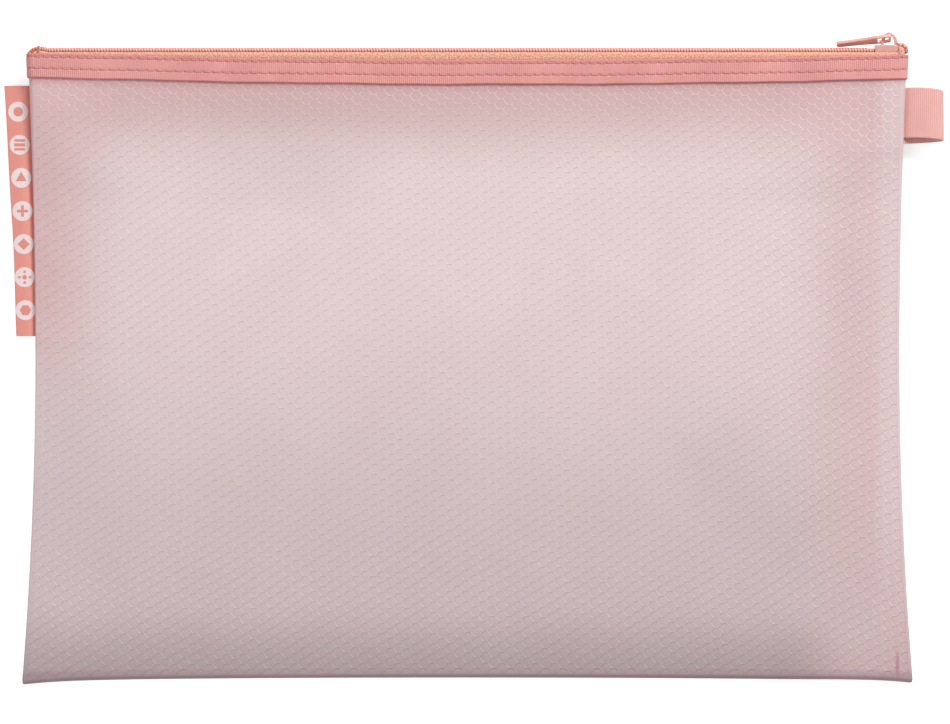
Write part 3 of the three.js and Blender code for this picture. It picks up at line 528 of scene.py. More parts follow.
class Look:
    """A node material with one Principled shader, and short calls for what feeds it."""

    def __init__(self, name, colour, roughness, **sockets):
        self.material = bpy.data.materials.new(name)
        self.material.use_nodes = True
        self.nodes = self.material.node_tree.nodes
        self.links = self.material.node_tree.links
        self.shader = self.nodes["Principled BSDF"]
        for key, value in {"Base_Color": (*colour, 1), "Roughness": roughness, **sockets}.items():
            self.shader.inputs[key.replace("_", " ")].default_value = value

    def fed(self, **sockets):
        """The finished material, with these outputs linked to the shader's sockets."""
        for key, source in sockets.items():
            self.links.new(source, self.shader.inputs[key.replace("_", " ")])
        return self.material

    def add(self, kind, links=(), **values):
        """A node with its links, as (input, what feeds it), and its inputs' and its own values."""
        node = self.nodes.new(kind)
        for key, value in values.items():
            if key in node.inputs:
                node.inputs[key].default_value = value
            else:
                setattr(node, key, value)
        for socket, value in links:
            self.give(node.inputs[socket], value)
        return node

    def give(self, socket, value):
        """Links an output to a socket, or sets a number or a colour on it."""
        if isinstance(value, bpy.types.NodeSocket):
            self.links.new(value, socket)
        else:
            socket.default_value = (*value, 1) if isinstance(value, tuple) else value

    def place(self, kind="Object", scale=(1, 1, 1), turn=(0, 0, 0)):
        """Object coordinates in millimetres, or the cloth's own lengths, scaled and turned."""
        source = self.add("ShaderNodeTexCoord").outputs[kind]
        scale = [s * (1 / MM if kind == "Object" else 1) for s in scale]
        return self.add("ShaderNodeMapping", [("Vector", source)], Scale=scale, Rotation=turn).outputs[0]

    def two_axes(self, kind="Object"):
        """The first two coordinates, each as a number."""
        return self.add("ShaderNodeSeparateXYZ", [(0, self.place(kind))]).outputs[:2]

    def noise(self, place, scale, detail=2.0):
        return self.add("ShaderNodeTexNoise", [("Vector", place)], Scale=scale, Detail=detail).outputs["Fac"]

    def wave(self, place, scale, axis="X"):
        node = self.add("ShaderNodeTexWave", [("Vector", place)], Scale=scale, bands_direction=axis)
        return node.outputs["Fac"]

    def math(self, operation, a, b=0.5):
        return self.add("ShaderNodeMath", [(0, a), (1, b)], operation=operation).outputs[0]

    def times(self, a, b):
        return self.math("MULTIPLY", a, b)

    def plus(self, a, b):
        return self.math("ADD", a, b)

    def highest(self, first, *others):
        for value in others:
            first = self.math("MAXIMUM", first, value)
        return first

    def rise(self, value, low, high, top=1.0):
        """Rises smoothly from 0 where the value is low to top where it is high."""
        links = [(0, value), (1, low), (2, high), (4, top)]
        return self.add("ShaderNodeMapRange", links, interpolation_type="SMOOTHSTEP").outputs[0]

    def patch(self, centre, size, turn, top):
        """top in the middle of an oval patch, falling smoothly to 0 at its edge."""
        spot = self.add("ShaderNodeMapping", vector_type="TEXTURE", Location=(*centre, 0),
                        Rotation=(0, 0, math.radians(turn)), Scale=(*size, FAR))
        self.links.new(self.place(), spot.inputs["Vector"])
        length = self.add("ShaderNodeVectorMath", [(0, spot.outputs[0])], operation="LENGTH")
        return self.rise(length.outputs["Value"], 1.0, 0.0, top)

    def ramp(self, factor, stops):
        node = self.add("ShaderNodeValToRGB", [("Fac", factor)])
        while len(node.color_ramp.elements) < len(stops):
            node.color_ramp.elements.new(1)
        for element, (place, colour) in zip(node.color_ramp.elements, stops):
            element.position = place
            element.color = (*colour, 1)
        return node.outputs["Color"]

    def between(self, factor, first, last, stops=(0.3, 0.7)):
        """From one colour to another over the middle of a texture."""
        return self.ramp(factor, [(stops[0], first), (stops[1], last)])

    def grey(self, factor, first, last, stops=(0.3, 0.7)):
        return self.between(factor, (first,) * 3, (last,) * 3, stops)

    def speckle(self, factor, colour, first, last, stops=(0.3, 0.7)):
        """One colour, from one share of it to another."""
        return self.between(factor, tint(colour, first), tint(colour, last), stops)

    def blend(self, factor, a, b, how="MIX"):
        links = [(0, factor), (6, a), (7, b)]
        return self.add("ShaderNodeMix", links, data_type="RGBA", blend_type=how).outputs[2]

    def shade(self, share, tone, factor, dark, stops=(0.3, 0.7)):
        """The tone, darkened in the low places of a texture."""
        return self.blend(share, tone, self.between(factor, dark, (1, 1, 1), stops), "MULTIPLY")

    def bump(self, height, distance, strength):
        links = [("Height", height)]
        return self.add("ShaderNodeBump", links, Strength=strength, Distance=distance * MM).outputs[0]


FILM_TONE = linear(227, 207, 208)
# Tones of the film's painted shade, painted shadow and painted highlight
FILM_SHADED = linear(206, 187, 189)
FILM_FOLD_SHADE = linear(177, 159, 161)
FILM_LIP_SHADE = linear(148, 122, 130)
FILM_HEM_SHADOW = linear(192, 136, 138)
FILM_TOP_SHADE = linear(208, 175, 175)
FILM_SIDE_SHADE = linear(217, 184, 185)
FILM_HIGHLIGHT = linear(226, 208, 210)
SEAM_MARK_TONE = linear(186, 104, 120)
THREAD_TONE = linear(226, 150, 147)
RIBBON_TONE = linear(224, 158, 153)
LOOP_TONE = linear(236, 180, 174)
# Painted shade in the ribbon's needle holes and stitch grooves, and along its edges
HOLE_SHADE = linear(168, 78, 84)
RIBBON_EDGE_SHADE = linear(188, 92, 100)
TAPE_TONE = linear(234, 183, 163)
TAPE_CREST = linear(244, 192, 164)
TAPE_BEND_SHADE = linear(214, 112, 96)
SPECK_DARK = linear(216, 118, 108)
SPECK_LIGHT = linear(244, 196, 160)
COIL_TONE = linear(246, 188, 172)
COIL_END_TONE = linear(220, 112, 86)
CORE_TONE = linear(250, 206, 190)
TACK_TONE = linear(206, 112, 98)
SATIN_TONE = linear(222, 142, 130)
INK_TONE = linear(232, 212, 212)
METAL_TONE = linear(224, 168, 160)
WORN_TONE = linear(240, 205, 198)
SEAM_TONE = linear(232, 160, 166)
# The net's threads are a little warmer than the film, and take their outer tone over these bands of x or y,
# each from, to and share. Above NET_NEAR, lower on the right by the slant, they take the tone by the ribbon.
NET_WARMTH = (1, 0.985, 0.98)
NET_RIGHT = (60.0, 140.0)
NET_LOW = (-40.0, -100.0)
NET_LEFT = (-60.0, -140.0, 0.35)
NET_NEAR = (92.0, 103.0)
NET_SLANT_START = 100.0
NET_SLANT = 0.35

# Broad bands of painted shade on the film, pinker near the sides, and one painted highlight strip by the
# right edge: from where to where in x and in y each rises, its share and its colour
PAINTED_SHADING_BANDS = [
    (None, (40.0, -108.0), 1.0, FILM_SHADED),
    (None, (-88.0, -121.0), 1.0, FILM_FOLD_SHADE),
    (None, (70.0, 106.0), 1.0, FILM_TOP_SHADE),
    ((-128.0, -162.0), (-30.0, 30.0), 1.0, FILM_SIDE_SHADE),
    ((118.0, 150.0), None, 0.6, FILM_SIDE_SHADE),
    ((154.0, 160.0), (-119.0, -40.0), 0.5, FILM_HIGHLIGHT),
]
# Oval patches of painted shade: centre, half sizes, turn and share
PAINTED_SHADE_PATCHES = [
    ((110, -64), (70, 20), -44, 0.85),
    ((-66, 76), (62, 26), -6, 0.45),
    ((150, -95), (20, 42), -14, 0.4),
    ((-152, -36), (34, 66), 0, 0.55),
    ((147, 26), (16, 52), 0, 0.4),
]
# A broad patch of painted highlight, and a pink mark of the seam at the bottom right
PAINTED_HIGHLIGHT_PATCH = ((92, 62), (56, 52), 0, 0.25)
SEAM_MARK = ((163.9, -114.6), (1.2, 8.0), 0, 0.65)
# Painted shade along the lip of the fold, and the painted shadow that the ribbon's hem casts on the film
LIP_SHADE_BAND = (-115.5, -119.5, 0.6)
HEM_SHADOW_BAND = (HEM_LEVEL - 4.5, HEM_LEVEL, 0.55)
# The coil's ends are darker.
COIL_ENDS = ((164.0, 165.4, 0.8), (-161.0, -165.0, 0.8))
# Painted shade on the satin by the seam, where it curves in, then a painted highlight band: share of
# SATIN_SPAN from the seam, and colour
SATIN_SPAN = 16
SATIN_SHADE_STOPS = [
    (0.2, linear(204, 102, 92)),
    (0.29, linear(212, 114, 102)),
    (0.35, linear(234, 154, 141)),
    (0.55, SATIN_TONE),
    (0.8, linear(222, 140, 130)),
]


def film_colour(look):
    """The film's broad tones: painted shade under the ribbon, towards the fold, at the sides and in patches,
    the ribbon hem's painted shadow, painted highlights and a pink seam mark.
    """
    x, y = look.two_axes()
    colour = FILM_TONE
    # Bands of painted shade, and a painted highlight strip
    for in_x, in_y, share, tone in PAINTED_SHADING_BANDS:
        for value, band in ((x, in_x), (y, in_y)):
            if band:
                share = look.times(look.rise(value, *band), share)
        colour = look.blend(share, colour, tone)
    # Patches of painted shade, then a patch of painted highlight
    dark = 0.0
    for spot in PAINTED_SHADE_PATCHES:
        dark = look.plus(dark, look.patch(*spot))
    colour = look.blend(dark, colour, FILM_SHADED)
    colour = look.blend(look.patch(*PAINTED_HIGHLIGHT_PATCH), colour, FILM_HIGHLIGHT)
    # The painted shadow under the ribbon's hem, painted shade along the fold's lip, and the seam mark
    sag = look.times(look.math("POWER", look.times(x, 2 / WAIST_WIDTH), 2.0), RIBBON_SAG)
    colour = look.blend(look.rise(look.math("SUBTRACT", y, sag), *HEM_SHADOW_BAND), colour, FILM_HEM_SHADOW)
    colour = look.blend(look.rise(y, *LIP_SHADE_BAND), colour, FILM_LIP_SHADE)
    colour = look.blend(look.patch(*SEAM_MARK), colour, SEAM_MARK_TONE)
    cloud = look.noise(look.place(), 0.035, 3.0)
    return look.shade(0.22, colour, cloud, (0.86, 0.82, 0.83))


def film_look(name, opacity):
    look = Look(name, FILM_TONE, 0.42, Alpha=opacity, IOR=1.45, Specular_IOR_Level=0.3)
    grain = look.noise(look.place(), 3.2)
    return look.fed(
        Base_Color=film_colour(look), Roughness=look.grey(grain, 0.38, 0.54),
        Normal=look.bump(grain, 0.02, 0.5))


def net_look(name, middle, edge, near):
    """A thread of the net: shares of the film's tone in the middle, towards the edges and by the ribbon."""
    look = Look(name, tint(FILM_TONE, middle), 0.5, Alpha=0.96)
    x, y = look.two_axes()
    base = film_colour(look)
    shares = (middle, edge, near)
    middle, edge, near = (look.blend(1.0, base, tint(NET_WARMTH, share), "MULTIPLY") for share in shares)
    outward = look.highest(look.rise(x, *NET_RIGHT), look.rise(y, *NET_LOW), look.rise(x, *NET_LEFT))
    slant = look.highest(look.times(look.math("SUBTRACT", x, NET_SLANT_START), NET_SLANT), 0.0)
    tone = look.blend(outward, middle, edge)
    tone = look.blend(look.rise(look.plus(y, slant), *NET_NEAR), tone, near)
    return look.fed(Base_Color=tone, Normal=look.bump(look.noise(look.place(), 9.0), 0.02, 0.5))


def grosgrain_look(name, colour, depth, rows=()):
    """Ribbed ribbon. depth is how dark the painted shade in the rib valleys is, rows the (place, pitch) of
    rows of needle holes.
    """
    look = Look(name, colour, 0.75, Sheen_Weight=0.2, Sheen_Roughness=0.4)
    fibre = look.noise(look.place("UV", (1.2, 9, 1)), 1.0, 3.0)
    broad = look.noise(look.place("UV", (1, 0.35, 1)), 0.05, 3.0)
    tone = look.speckle(broad, colour, 0.93, 1.06, (0.25, 0.75))
    tone = look.shade(0.4, tone, fibre, (0.84, 0.78, 0.78))
    # Painted shade in the valleys between the ribs, patchy along the ribbon
    fullness = look.grey(look.noise(look.place("UV", (1, 0.6, 1)), 0.09), 0.35, 1, (0.35, 0.6))
    rib = look.wave(look.place("UV"), WAVE_UNIT / RIB_PITCH)
    tone = look.shade(look.times(fullness, depth), tone, rib, (0.66, 0.5, 0.5), (0.0, 0.6))
    along, down = look.two_axes("UV")
    # Painted shade in each needle hole and along the groove that the thread draws in
    for row, pitch in rows:
        above = look.math("SUBTRACT", down, row)
        beside = look.math("PINGPONG", along, pitch / 2)
        from_hole = look.math("PINGPONG", look.math("SUBTRACT", along, HOLE_SHIFT), pitch / 2)
        squares = (look.math("POWER", side, 2.0) for side in (look.times(from_hole, 0.65), above))
        hole = look.rise(look.math("SQRT", look.plus(*squares)), HOLE_SHADE_REACH, 0.1, 0.8)
        drawn = look.rise(look.math("ABSOLUTE", above), 0.5, 0.12, 0.45)
        drawn = look.times(drawn, look.rise(beside, 0.15, 0.6))
        tone = look.blend(look.highest(hole, drawn), tone, HOLE_SHADE)
    # Painted shade along the ribbon's top edge and its lower edge
    if rows:
        lip_shade = look.rise(down, UPPER_ROW + 0.3, 0.4, 0.3)
        hem_shade = look.rise(down, RIBBON_WIDTH - 0.75, RIBBON_WIDTH - 0.1, 0.8)
        tone = look.blend(look.highest(lip_shade, hem_shade), tone, RIBBON_EDGE_SHADE)
    return look.fed(Base_Color=tone, Normal=look.bump(fibre, 0.07, 0.8))


def tape_look():
    look = Look("zipper_tape_weave", TAPE_TONE, 0.8, Sheen_Weight=0.15)
    along, down = look.two_axes("UV")
    slope = look.plus(look.times(along, 1.1), look.times(look.math("PINGPONG", down, 0.55), 1.5))
    weave = look.math("SINE", look.times(slope, 2 * math.pi))
    raised = look.plus(look.times(weave, 0.5), 0.5)
    tone = look.ramp(raised, [(0.1, tint(TAPE_TONE, 0.55)), (0.6, TAPE_TONE), (1.0, TAPE_CREST)])
    speck = look.between(look.noise(look.place("UV"), 1.5, 1.0), SPECK_DARK, SPECK_LIGHT, (0.42, 0.58))
    tone = look.blend(0.6, tone, speck)
    # Painted shade on the tape near the chain and over its bend
    tone = look.blend(look.rise(down, 3.4, 2.2, 0.55), tone, TAPE_BEND_SHADE)
    return look.fed(Base_Color=tone, Normal=look.bump(raised, 0.14, 1.0))


def coil_look():
    look = Look("nylon_coil", COIL_TONE, 0.3, Specular_IOR_Level=0.6)
    x = look.two_axes()[0]
    ends = look.highest(*(look.rise(x, *band) for band in COIL_ENDS))
    tone = look.speckle(look.noise(look.place(), 0.6), COIL_TONE, 0.85, 1.05)
    tone = look.blend(ends, tone, COIL_END_TONE)
    return look.fed(Base_Color=tone, Normal=look.bump(look.noise(look.place(), 6.0), 0.03, 0.4))


def thread_look(name, colour):
    look = Look(name, colour, 0.62, Sheen_Weight=0.3)
    ply = look.wave(look.place(turn=(0, 0, 0.7)), 0.9)
    worn = look.noise(look.place(), 2.0)
    return look.fed(
        Base_Color=look.speckle(ply, colour, 0.72, 1, (0.1, 0.6)), Normal=look.bump(ply, 0.05, 0.7),
        Roughness=look.grey(worn, 0.5, 0.75))


def satin_look():
    look = Look("satin", SATIN_TONE, 0.42, Sheen_Weight=0.35, Specular_IOR_Level=0.45)
    thread = look.noise(look.place("UV", (14, 0.5, 1)), 1.0)
    # Painted shade by the seam and a painted highlight band beyond it
    tone = look.ramp(look.times(look.two_axes("UV")[0], 1 / SATIN_SPAN), SATIN_SHADE_STOPS)
    tone = look.shade(0.35, tone, thread, (0.82, 0.78, 0.78))
    return look.fed(
        Base_Color=tone, Roughness=look.grey(thread, 0.36, 0.52), Normal=look.bump(thread, 0.03, 0.6))


def ink_look(name, colour):
    look = Look(name, colour, 0.6)
    weave = look.noise(look.place(scale=(9, 2, 1)), 1.0)
    return look.fed(Base_Color=look.speckle(weave, colour, 0.9, 1.04), Normal=look.bump(weave, 0.02, 0.5))


def lacquer_look():
    look = Look("salmon_lacquer", METAL_TONE, 0.3, Metallic=0.25, Coat_Weight=0.6, Coat_Roughness=0.12)
    pits = look.noise(look.place(), 1.8, 3.0)
    edge = look.add("ShaderNodeNewGeometry").outputs["Pointiness"]
    worn = look.times(look.grey(edge, 0, 1, (0.5, 0.62)), 0.35)
    tone = look.blend(worn, look.speckle(pits, METAL_TONE, 0.95, 1.03), WORN_TONE)
    return look.fed(
        Base_Color=tone, Roughness=look.grey(pits, 0.24, 0.4), Normal=look.bump(pits, 0.02, 0.35))


def seam_look():
    look = Look("seam_tape_weave", SEAM_TONE, 0.8)
    weave = look.wave(look.place(), 0.45, "Y")
    return look.fed(
        Base_Color=look.speckle(weave, SEAM_TONE, 0.82, 1, (0.1, 0.6)), Normal=look.bump(weave, 0.06, 0.6))


FILM_FRONT = film_look("frosted_film_front", 0.9)
FILM_BACK = film_look("frosted_film_back", 0.94)
# Threads on one slant carry a painted highlight and the level threads painted shade, where the key light
# would catch and miss them
NET_HIGHLIGHT = net_look("net_thread_highlight", 1.1, 1.3, 1.34)
NET_SHADE = net_look("net_thread_shade", 0.74, 0.76, 1.12)
NET_PLAIN = net_look("net_thread_plain", 0.93, 0.78, 1.2)
STITCH_ROWS = (("upper", UPPER_ROW, UPPER_PITCH), ("lower", LOWER_ROW, LOWER_PITCH))
GROSGRAIN = grosgrain_look("grosgrain", RIBBON_TONE, 0.8, [row[1:] for row in STITCH_ROWS])
LOOP_GROSGRAIN = grosgrain_look("loop_grosgrain", LOOP_TONE, 0.5)
WEAVE = tape_look()
NYLON = coil_look()
CORE_CORD = thread_look("core_cord", CORE_TONE)
THREAD_LOOK = thread_look("sewing_thread", THREAD_TONE)
TACK_THREAD = thread_look("tack_thread", TACK_TONE)
SATIN_LOOK = satin_look()
INK = ink_look("pale_ink", INK_TONE)
MOTIF_INK = ink_look("coral_ink", tint(SATIN_TONE, 0.95))
LACQUER = lacquer_look()
SEAM_WEAVE = seam_look()

# Film with its net

FLAT_HALF = WAIST_WIDTH / 2 + 1
FOLD_LENGTH = math.pi * FOLD_HALF
# Looks of the six threads round a cell, from its upper right one: 1 painted highlight, 2 painted shade, 3
# plain
THREAD_KINDS = [1, 2, 3, 1, 2, 3]
# Corners of neighbouring cells that fall in the same square of this size are one.
SHARED_WITHIN = 0.01


def film_place(a, q):
    """A point of the film from its place on the flat sheet: a from the middle, q up the front from the
    middle of the fold."""
    across = a / FLAT_HALF
    line = fold_line(across)
    up = np.maximum(0, np.abs(q) - FOLD_LENGTH / 2)
    y = np.minimum(line + up * (CHAIN_Y - line) / (CHAIN_Y - FOLD_Y), film_top(across))
    turn = np.clip((FOLD_LENGTH / 2 - q) / FOLD_HALF, 0, math.pi)
    return shell_point(across, y, turn, True)


def net_warp(a, q):
    """How far the net wanders on the sheet, least at the sides."""
    room = np.clip((FLAT_HALF - np.abs(a)) / NET_CALM, 0, 1)
    da = NET_BROAD * np.sin(q / 9.1 + 1.3 * np.sin(a / 31)) + NET_FINE * np.sin(a / 5.3 + q / 7.7)
    dq = NET_BROAD * np.sin(a / 10.3 + 0.9 * np.sin(q / 27)) + NET_FINE * np.sin(q / 4.9 - a / 6.1)
    return a + da * room, q + dq * np.clip((np.abs(q) - FOLD_LENGTH) / NET_CALM, 0, 1)


def cell_centres(front):
    """Middles of the net's cells on one half of the flat sheet."""
    columns = np.arange(-int(FLAT_HALF / CELL_PITCH_X) - 1, int(FLAT_HALF / CELL_PITCH_X) + 2)
    rows = np.arange(-1, int(POUCH_HEIGHT / CELL_PITCH_Y) + 2)
    i, j = np.meshgrid(columns, rows, indexing="ij")
    centre = stacked(i * CELL_PITCH_X, (j + (i % 2) / 2) * CELL_PITCH_Y).reshape(-1, 2)
    centre[:, 1] += FOLD_LENGTH / 2 + CELL_PITCH_Y / 2
    centre = centre[np.abs(centre[:, 0]) < FLAT_HALF + CELL_WIDTH / 4]
    centre = centre[centre[:, 1] > FOLD_LENGTH / 2]
    top = film_top(centre[:, 0] / FLAT_HALF) - FOLD_Y + FOLD_LENGTH / 2
    centre = centre[centre[:, 1] < top - CELL_TOP_GAP]
    return centre if front else centre * [1, -1]


def net_film(name, front, looks):
    """Half of the film: a ridge along each thread of the net and a low swelling in each cell."""
    centre = cell_centres(front)
    point, flat, side = CELL_WIDTH / 2, CELL_PITCH_X - CELL_WIDTH / 2, CELL_PITCH_Y / 2
    corner = centre[:, None] + np.array([
        [point, 0], [flat, side], [-flat, side], [-point, 0], [-flat, -side], [flat, -side]])
    limit = FLAT_HALF - CELL_EDGE
    corner[..., 0] = np.clip(corner[..., 0], -limit, limit)
    low, high = (FOLD_LENGTH / 4, FAR) if front else (-FAR, -FOLD_LENGTH / 4)
    corner[..., 1] = np.clip(corner[..., 1], low, high)
    square = np.round(corner / SHARED_WITHIN).astype(int).reshape(-1, 2)
    crest, shared = np.unique(square, axis=0, return_inverse=True)
    shared = shared.reshape(-1, CELL_CORNERS)
    middle = corner.mean(1, keepdims=True)
    shares = (1 - NET_THREAD / CELL_PITCH_Y, CELL_RIM)
    foot, rim = ((middle + (corner - middle) * share).reshape(-1, 2) for share in shares)
    swell = CELL_SWELL + CELL_VARIES * np.sin(centre[:, 0] * 1.7 + centre[:, 1] * 2.9)
    lift = in_line(np.full(len(crest), NET_RISE), np.zeros(len(foot)), np.repeat(swell, CELL_CORNERS))
    lift = lift if front else lift - BACK_SINK
    a, q = net_warp(*np.concatenate([crest * SHARED_WITHIN, foot, rim]).T)
    a = np.clip(a, -limit, limit)
    step = 0.05
    da = film_place(a + step, q) - film_place(a - step, q)
    dq = film_place(a, q + step) - film_place(a, q - step)
    points = film_place(a, q) + unit(np.cross(da, dq)) * lift[:, None]
    feet = len(crest) + np.arange(len(foot)).reshape(-1, CELL_CORNERS)
    rims = feet + len(foot)
    after = (np.arange(CELL_CORNERS) + 1) % CELL_CORNERS
    threads = stacked(shared, shared[:, after], feet[:, after], feet).reshape(-1, 4)
    slopes = stacked(feet, feet[:, after], rims[:, after], rims).reshape(-1, 4)
    kinds = THREAD_KINDS * len(centre) + [0] * (len(slopes) + len(rims))
    faces = threads.tolist() + slopes.tolist() + rims.tolist()
    # A thread that the edge has shortened to nothing has its first two corners in one place.
    kept = [k for k, face in enumerate(faces) if face[0] != face[1]]
    return add_mesh(name, points, [faces[k] for k in kept], looks, None, [kinds[k] for k in kept])


def film_rim():
    """The film's smooth edges: the fold at the bottom, and the turn into the seam at each side."""
    inner = 1 - RIM_OVERLAP / FLAT_HALF
    side = in_line(np.linspace(inner, 1, 5)[:-1], np.linspace(1, 2, 15)[:-1], np.linspace(2, 3, 4))
    middle = np.linspace(-inner, inner, 180)
    heights = np.linspace(0, 1, 140)[:-1]
    points, faces, count = [], [], 0
    for across, whole in ((-side[::-1], True), (middle, False), (side, True)):
        line = fold_line(across)
        levels = [mix(film_top(across), line + RIM_OVERLAP, t) for t in heights] if whole else []
        levels += [line + rise for rise in RIM_ROWS]
        rows = [(y, 0.0) for y in levels] + [(line, turn) for turn in np.linspace(0, math.pi, 17)]
        rows += [(y, math.pi) for y in levels[::-1]]
        room = np.clip((1 - np.abs(across)) * FLAT_HALF / RIM_UP_SIDE, 0, 1)
        for y, turn in rows:
            under = np.clip((y - line) / RIM_UP_FOLD, 0, 1) * room
            sink = RIM_SINK if turn == 0 else -RIM_SINK - BACK_SINK
            points.append(shell_point(across, y, turn, True) - stacked(0, 0, sink * under))
        faces.append(grid_faces(len(rows), len(across), count))
        count += len(rows) * len(across)
    piece = add_mesh("film_rim", np.concatenate(points), np.concatenate(faces), [FILM_BACK])
    return reworked(piece, lambda work: bmesh.ops.remove_doubles(work, verts=work.verts, dist=1e-6))


FILM_FACE = net_film("film_front", True, [FILM_FRONT, NET_HIGHLIGHT, NET_SHADE, NET_PLAIN])
FILM_REAR = net_film("film_back", False, [FILM_BACK, NET_HIGHLIGHT, NET_SHADE, NET_PLAIN])
FILM_EDGE = film_rim()
for piece in (FILM_FACE, FILM_REAR, FILM_EDGE):
    dress(piece, "pouch", "film", "film_body")

# Ribbons and their stitches

FACES = (("front", 1), ("back", -1))
RIBBON_HALF = main_half_width(1, CHAIN_Y)
RIBBON_TURN = math.pi * (turn_radius(1, CHAIN_Y) + LAYER_GAP + RIBBON)
RIBBON_ROWS = np.array([
    0, 0.07, 0.25, 0.5, 0.85, 1.05, 1.2, 1.35, 1.6, 2.2, 3.3, 4.6, 5.2, 5.45, 5.6, 5.75, 6.0, 6.7, 7.8, 8.7,
    9.05, 9.23, RIBBON_WIDTH,
])
# A stitch: shares of its pitch, and there its height, its slant and its share of the thread's radius
STITCH_SHARE = np.array([0.03, 0.09, 0.22, 0.5, 0.78, 0.91, 0.97])
STITCH_LIFT = np.array([-0.42, -0.16, 0.03, 0.07, 0.03, -0.16, -0.42])
STITCH_SLANT = np.array([0.1, 0.09, 0.05, 0.0, -0.05, -0.09, -0.1])
STITCH_SWELL = np.array([0.8, 0.95, 1, 1.05, 1, 0.95, 0.8])


def wobble(a):
    """A slow unevenness of the ribbons' height, 0.14 mm at most."""
    return 0.05 * np.sin(a / 7.3) + 0.05 * np.sin(a / 3.1 + 1.7) + 0.04 * np.sin(a / 17 + 0.4)


def sway(a):
    """The same for the line that a ribbon and its stitches follow, 0.16 mm at most."""
    return 0.1 * np.sin(a / 11) + 0.06 * np.sin(a / 4.3)


def ribbon_across(a):
    beyond = np.sign(a) * (1 + (np.abs(a) - RIBBON_HALF) / RIBBON_TURN)
    return np.where(np.abs(a) <= RIBBON_HALF, a / RIBBON_HALF, beyond)


def groove(a, v, row, pitch):
    """How far the thread draws the ribbon in, deepest at each needle hole."""
    hole = (a + pitch / 2) % pitch - pitch / 2
    near = np.exp(-(((v - row) / GROOVE_HALF) ** 2))
    return near * (GROOVE_DEPTH + HOLE_DEPTH * np.exp(-((hole / HOLE_HALF) ** 2)))


def ribbon_height(a, v):
    edge = np.minimum(v, RIBBON_WIDTH - v)
    selvedge = smooth(0.0, SELVEDGE, edge)
    rib = RIB_DEPTH * np.cos(2 * math.pi * a / RIB_PITCH) * mix(0.5, 1, selvedge)
    drawn = sum(groove(a, v, row, pitch) for _, row, pitch in STITCH_ROWS)
    rounded = EDGE_DROP * (1 - smooth(0, EDGE_ROUND, edge))
    return LAYER_GAP + RIBBON + rib - rounded - drawn + wobble(a) * selvedge


def ribbon(name, out):
    reach = RIBBON_HALF + RIBBON_CAUGHT * RIBBON_TURN
    a = np.linspace(-reach, reach, int(2 * reach / RIB_PITCH * RIB_STEPS) + 1)
    across = np.broadcast_to(ribbon_across(a)[:, None], (len(a), len(RIBBON_ROWS)))
    y = ribbon_top(across) - RIBBON_ROWS + sway(a)[:, None]
    outer = beside_film(across, y, out, ribbon_height(a[:, None], RIBBON_ROWS))
    inner = beside_film(across, y, out, RIBBON_INSIDE)
    return closed_sheet(name, outer, inner, a, RIBBON_ROWS, [GROSGRAIN])


def ribbon_stitches(name, out, row, pitch):
    reach = RIBBON_HALF + STITCHES_BEYOND
    a = (np.arange(-int(reach / pitch), int(reach / pitch))[:, None] + STITCH_SHARE) * pitch
    across = ribbon_across(a)
    y = ribbon_top(across) - row + STITCH_SLANT + sway(a)
    lines = beside_film(across, y, out, LAYER_GAP + RIBBON - STITCH_SINK + STITCH_LIFT + wobble(a))
    return tubes(name, lines, 6, film_normal(across, y, out), STITCH_RADIUS * STITCH_SWELL, THREAD_LOOK)


for side_name, out in FACES:
    dress(ribbon(f"{side_name}_grosgrain", out), "pouch", "ribbon", f"{side_name}_ribbon")
    for row_name, row, pitch in STITCH_ROWS:
        stitches = ribbon_stitches(f"{side_name}_{row_name}_seam", out, row, pitch)
        dress(stitches, "pouch", "thread", f"{side_name}_{row_name}_stitches")

# Zipper

CHAIN_LEFT = -(half_width(CHAIN_Y) - CHAIN_END_INSET)
CHAIN_RIGHT = -CHAIN_LEFT
SLIDER_X = half_width(CHAIN_Y) - SLIDER_END_GAP - SLIDER_LENGTH / 2
SLIDER_HEAD = SLIDER_X + SLIDER_LENGTH / 2


def corner_fall(past, radius):
    """How far a rounded corner has fallen at a distance past its start."""
    past = np.clip(past, 0, radius * CORNER_SHARE)
    return radius - np.sqrt(radius**2 - past**2)


def chain_line(x):
    rise = CHAIN_LEFT + LEFT_CORNER_RADIUS
    bend = CHAIN_RIGHT - RIGHT_CORNER_RADIUS
    bump = LEFT_BUMP * smooth(-(rise + LEFT_BUMP_LENGTH), -rise, -x)
    bump = bump + RIGHT_BUMP * smooth(bend - RIGHT_BUMP_LENGTH, bend, x)
    left = corner_fall(rise - x, LEFT_CORNER_RADIUS)
    return CHAIN_Y + bump - left - corner_fall(x - bend, RIGHT_CORNER_RADIUS)


def tape_point(x, s, out):
    """s from 0 beside the chain, 1 to 2 round the bend and 3 at the edge inside the pouch."""
    half = main_half_width(1, CHAIN_Y - TAPE_BEND)
    room = turn_radius(1, CHAIN_Y) - FILM - LAYER_GAP
    beyond = np.clip((np.abs(x) - half) / room, 0, 1)
    across = np.where(np.abs(x) <= half, x / half, np.sign(x) * (1 + np.arcsin(beyond) / math.pi))
    bend_y = chain_line(x) - TAPE_BEND + TAPE_RAISE
    leg_y = mix(bend_y, CHAIN_Y - TAPE_DEPTH, np.clip(s - 2, 0, 1))
    leg = beside_film(across, leg_y, out, -(FILM + LAYER_GAP))
    flat = np.abs(leg[..., 2] - MOUTH_Z) - TAPE_BEND
    angle = (2 - np.clip(s, 1, 2)) * math.pi / 2
    y = np.where(s >= 2, leg[..., 1], bend_y + TAPE_BEND * np.sin(angle))
    away = np.where(s >= 1, flat + TAPE_BEND * np.cos(angle), mix(TAPE_EDGE, flat, np.clip(s, 0, 1)))
    return stacked(leg[..., 0], y, np.where(s >= 2, leg[..., 2], MOUTH_Z + out * away))


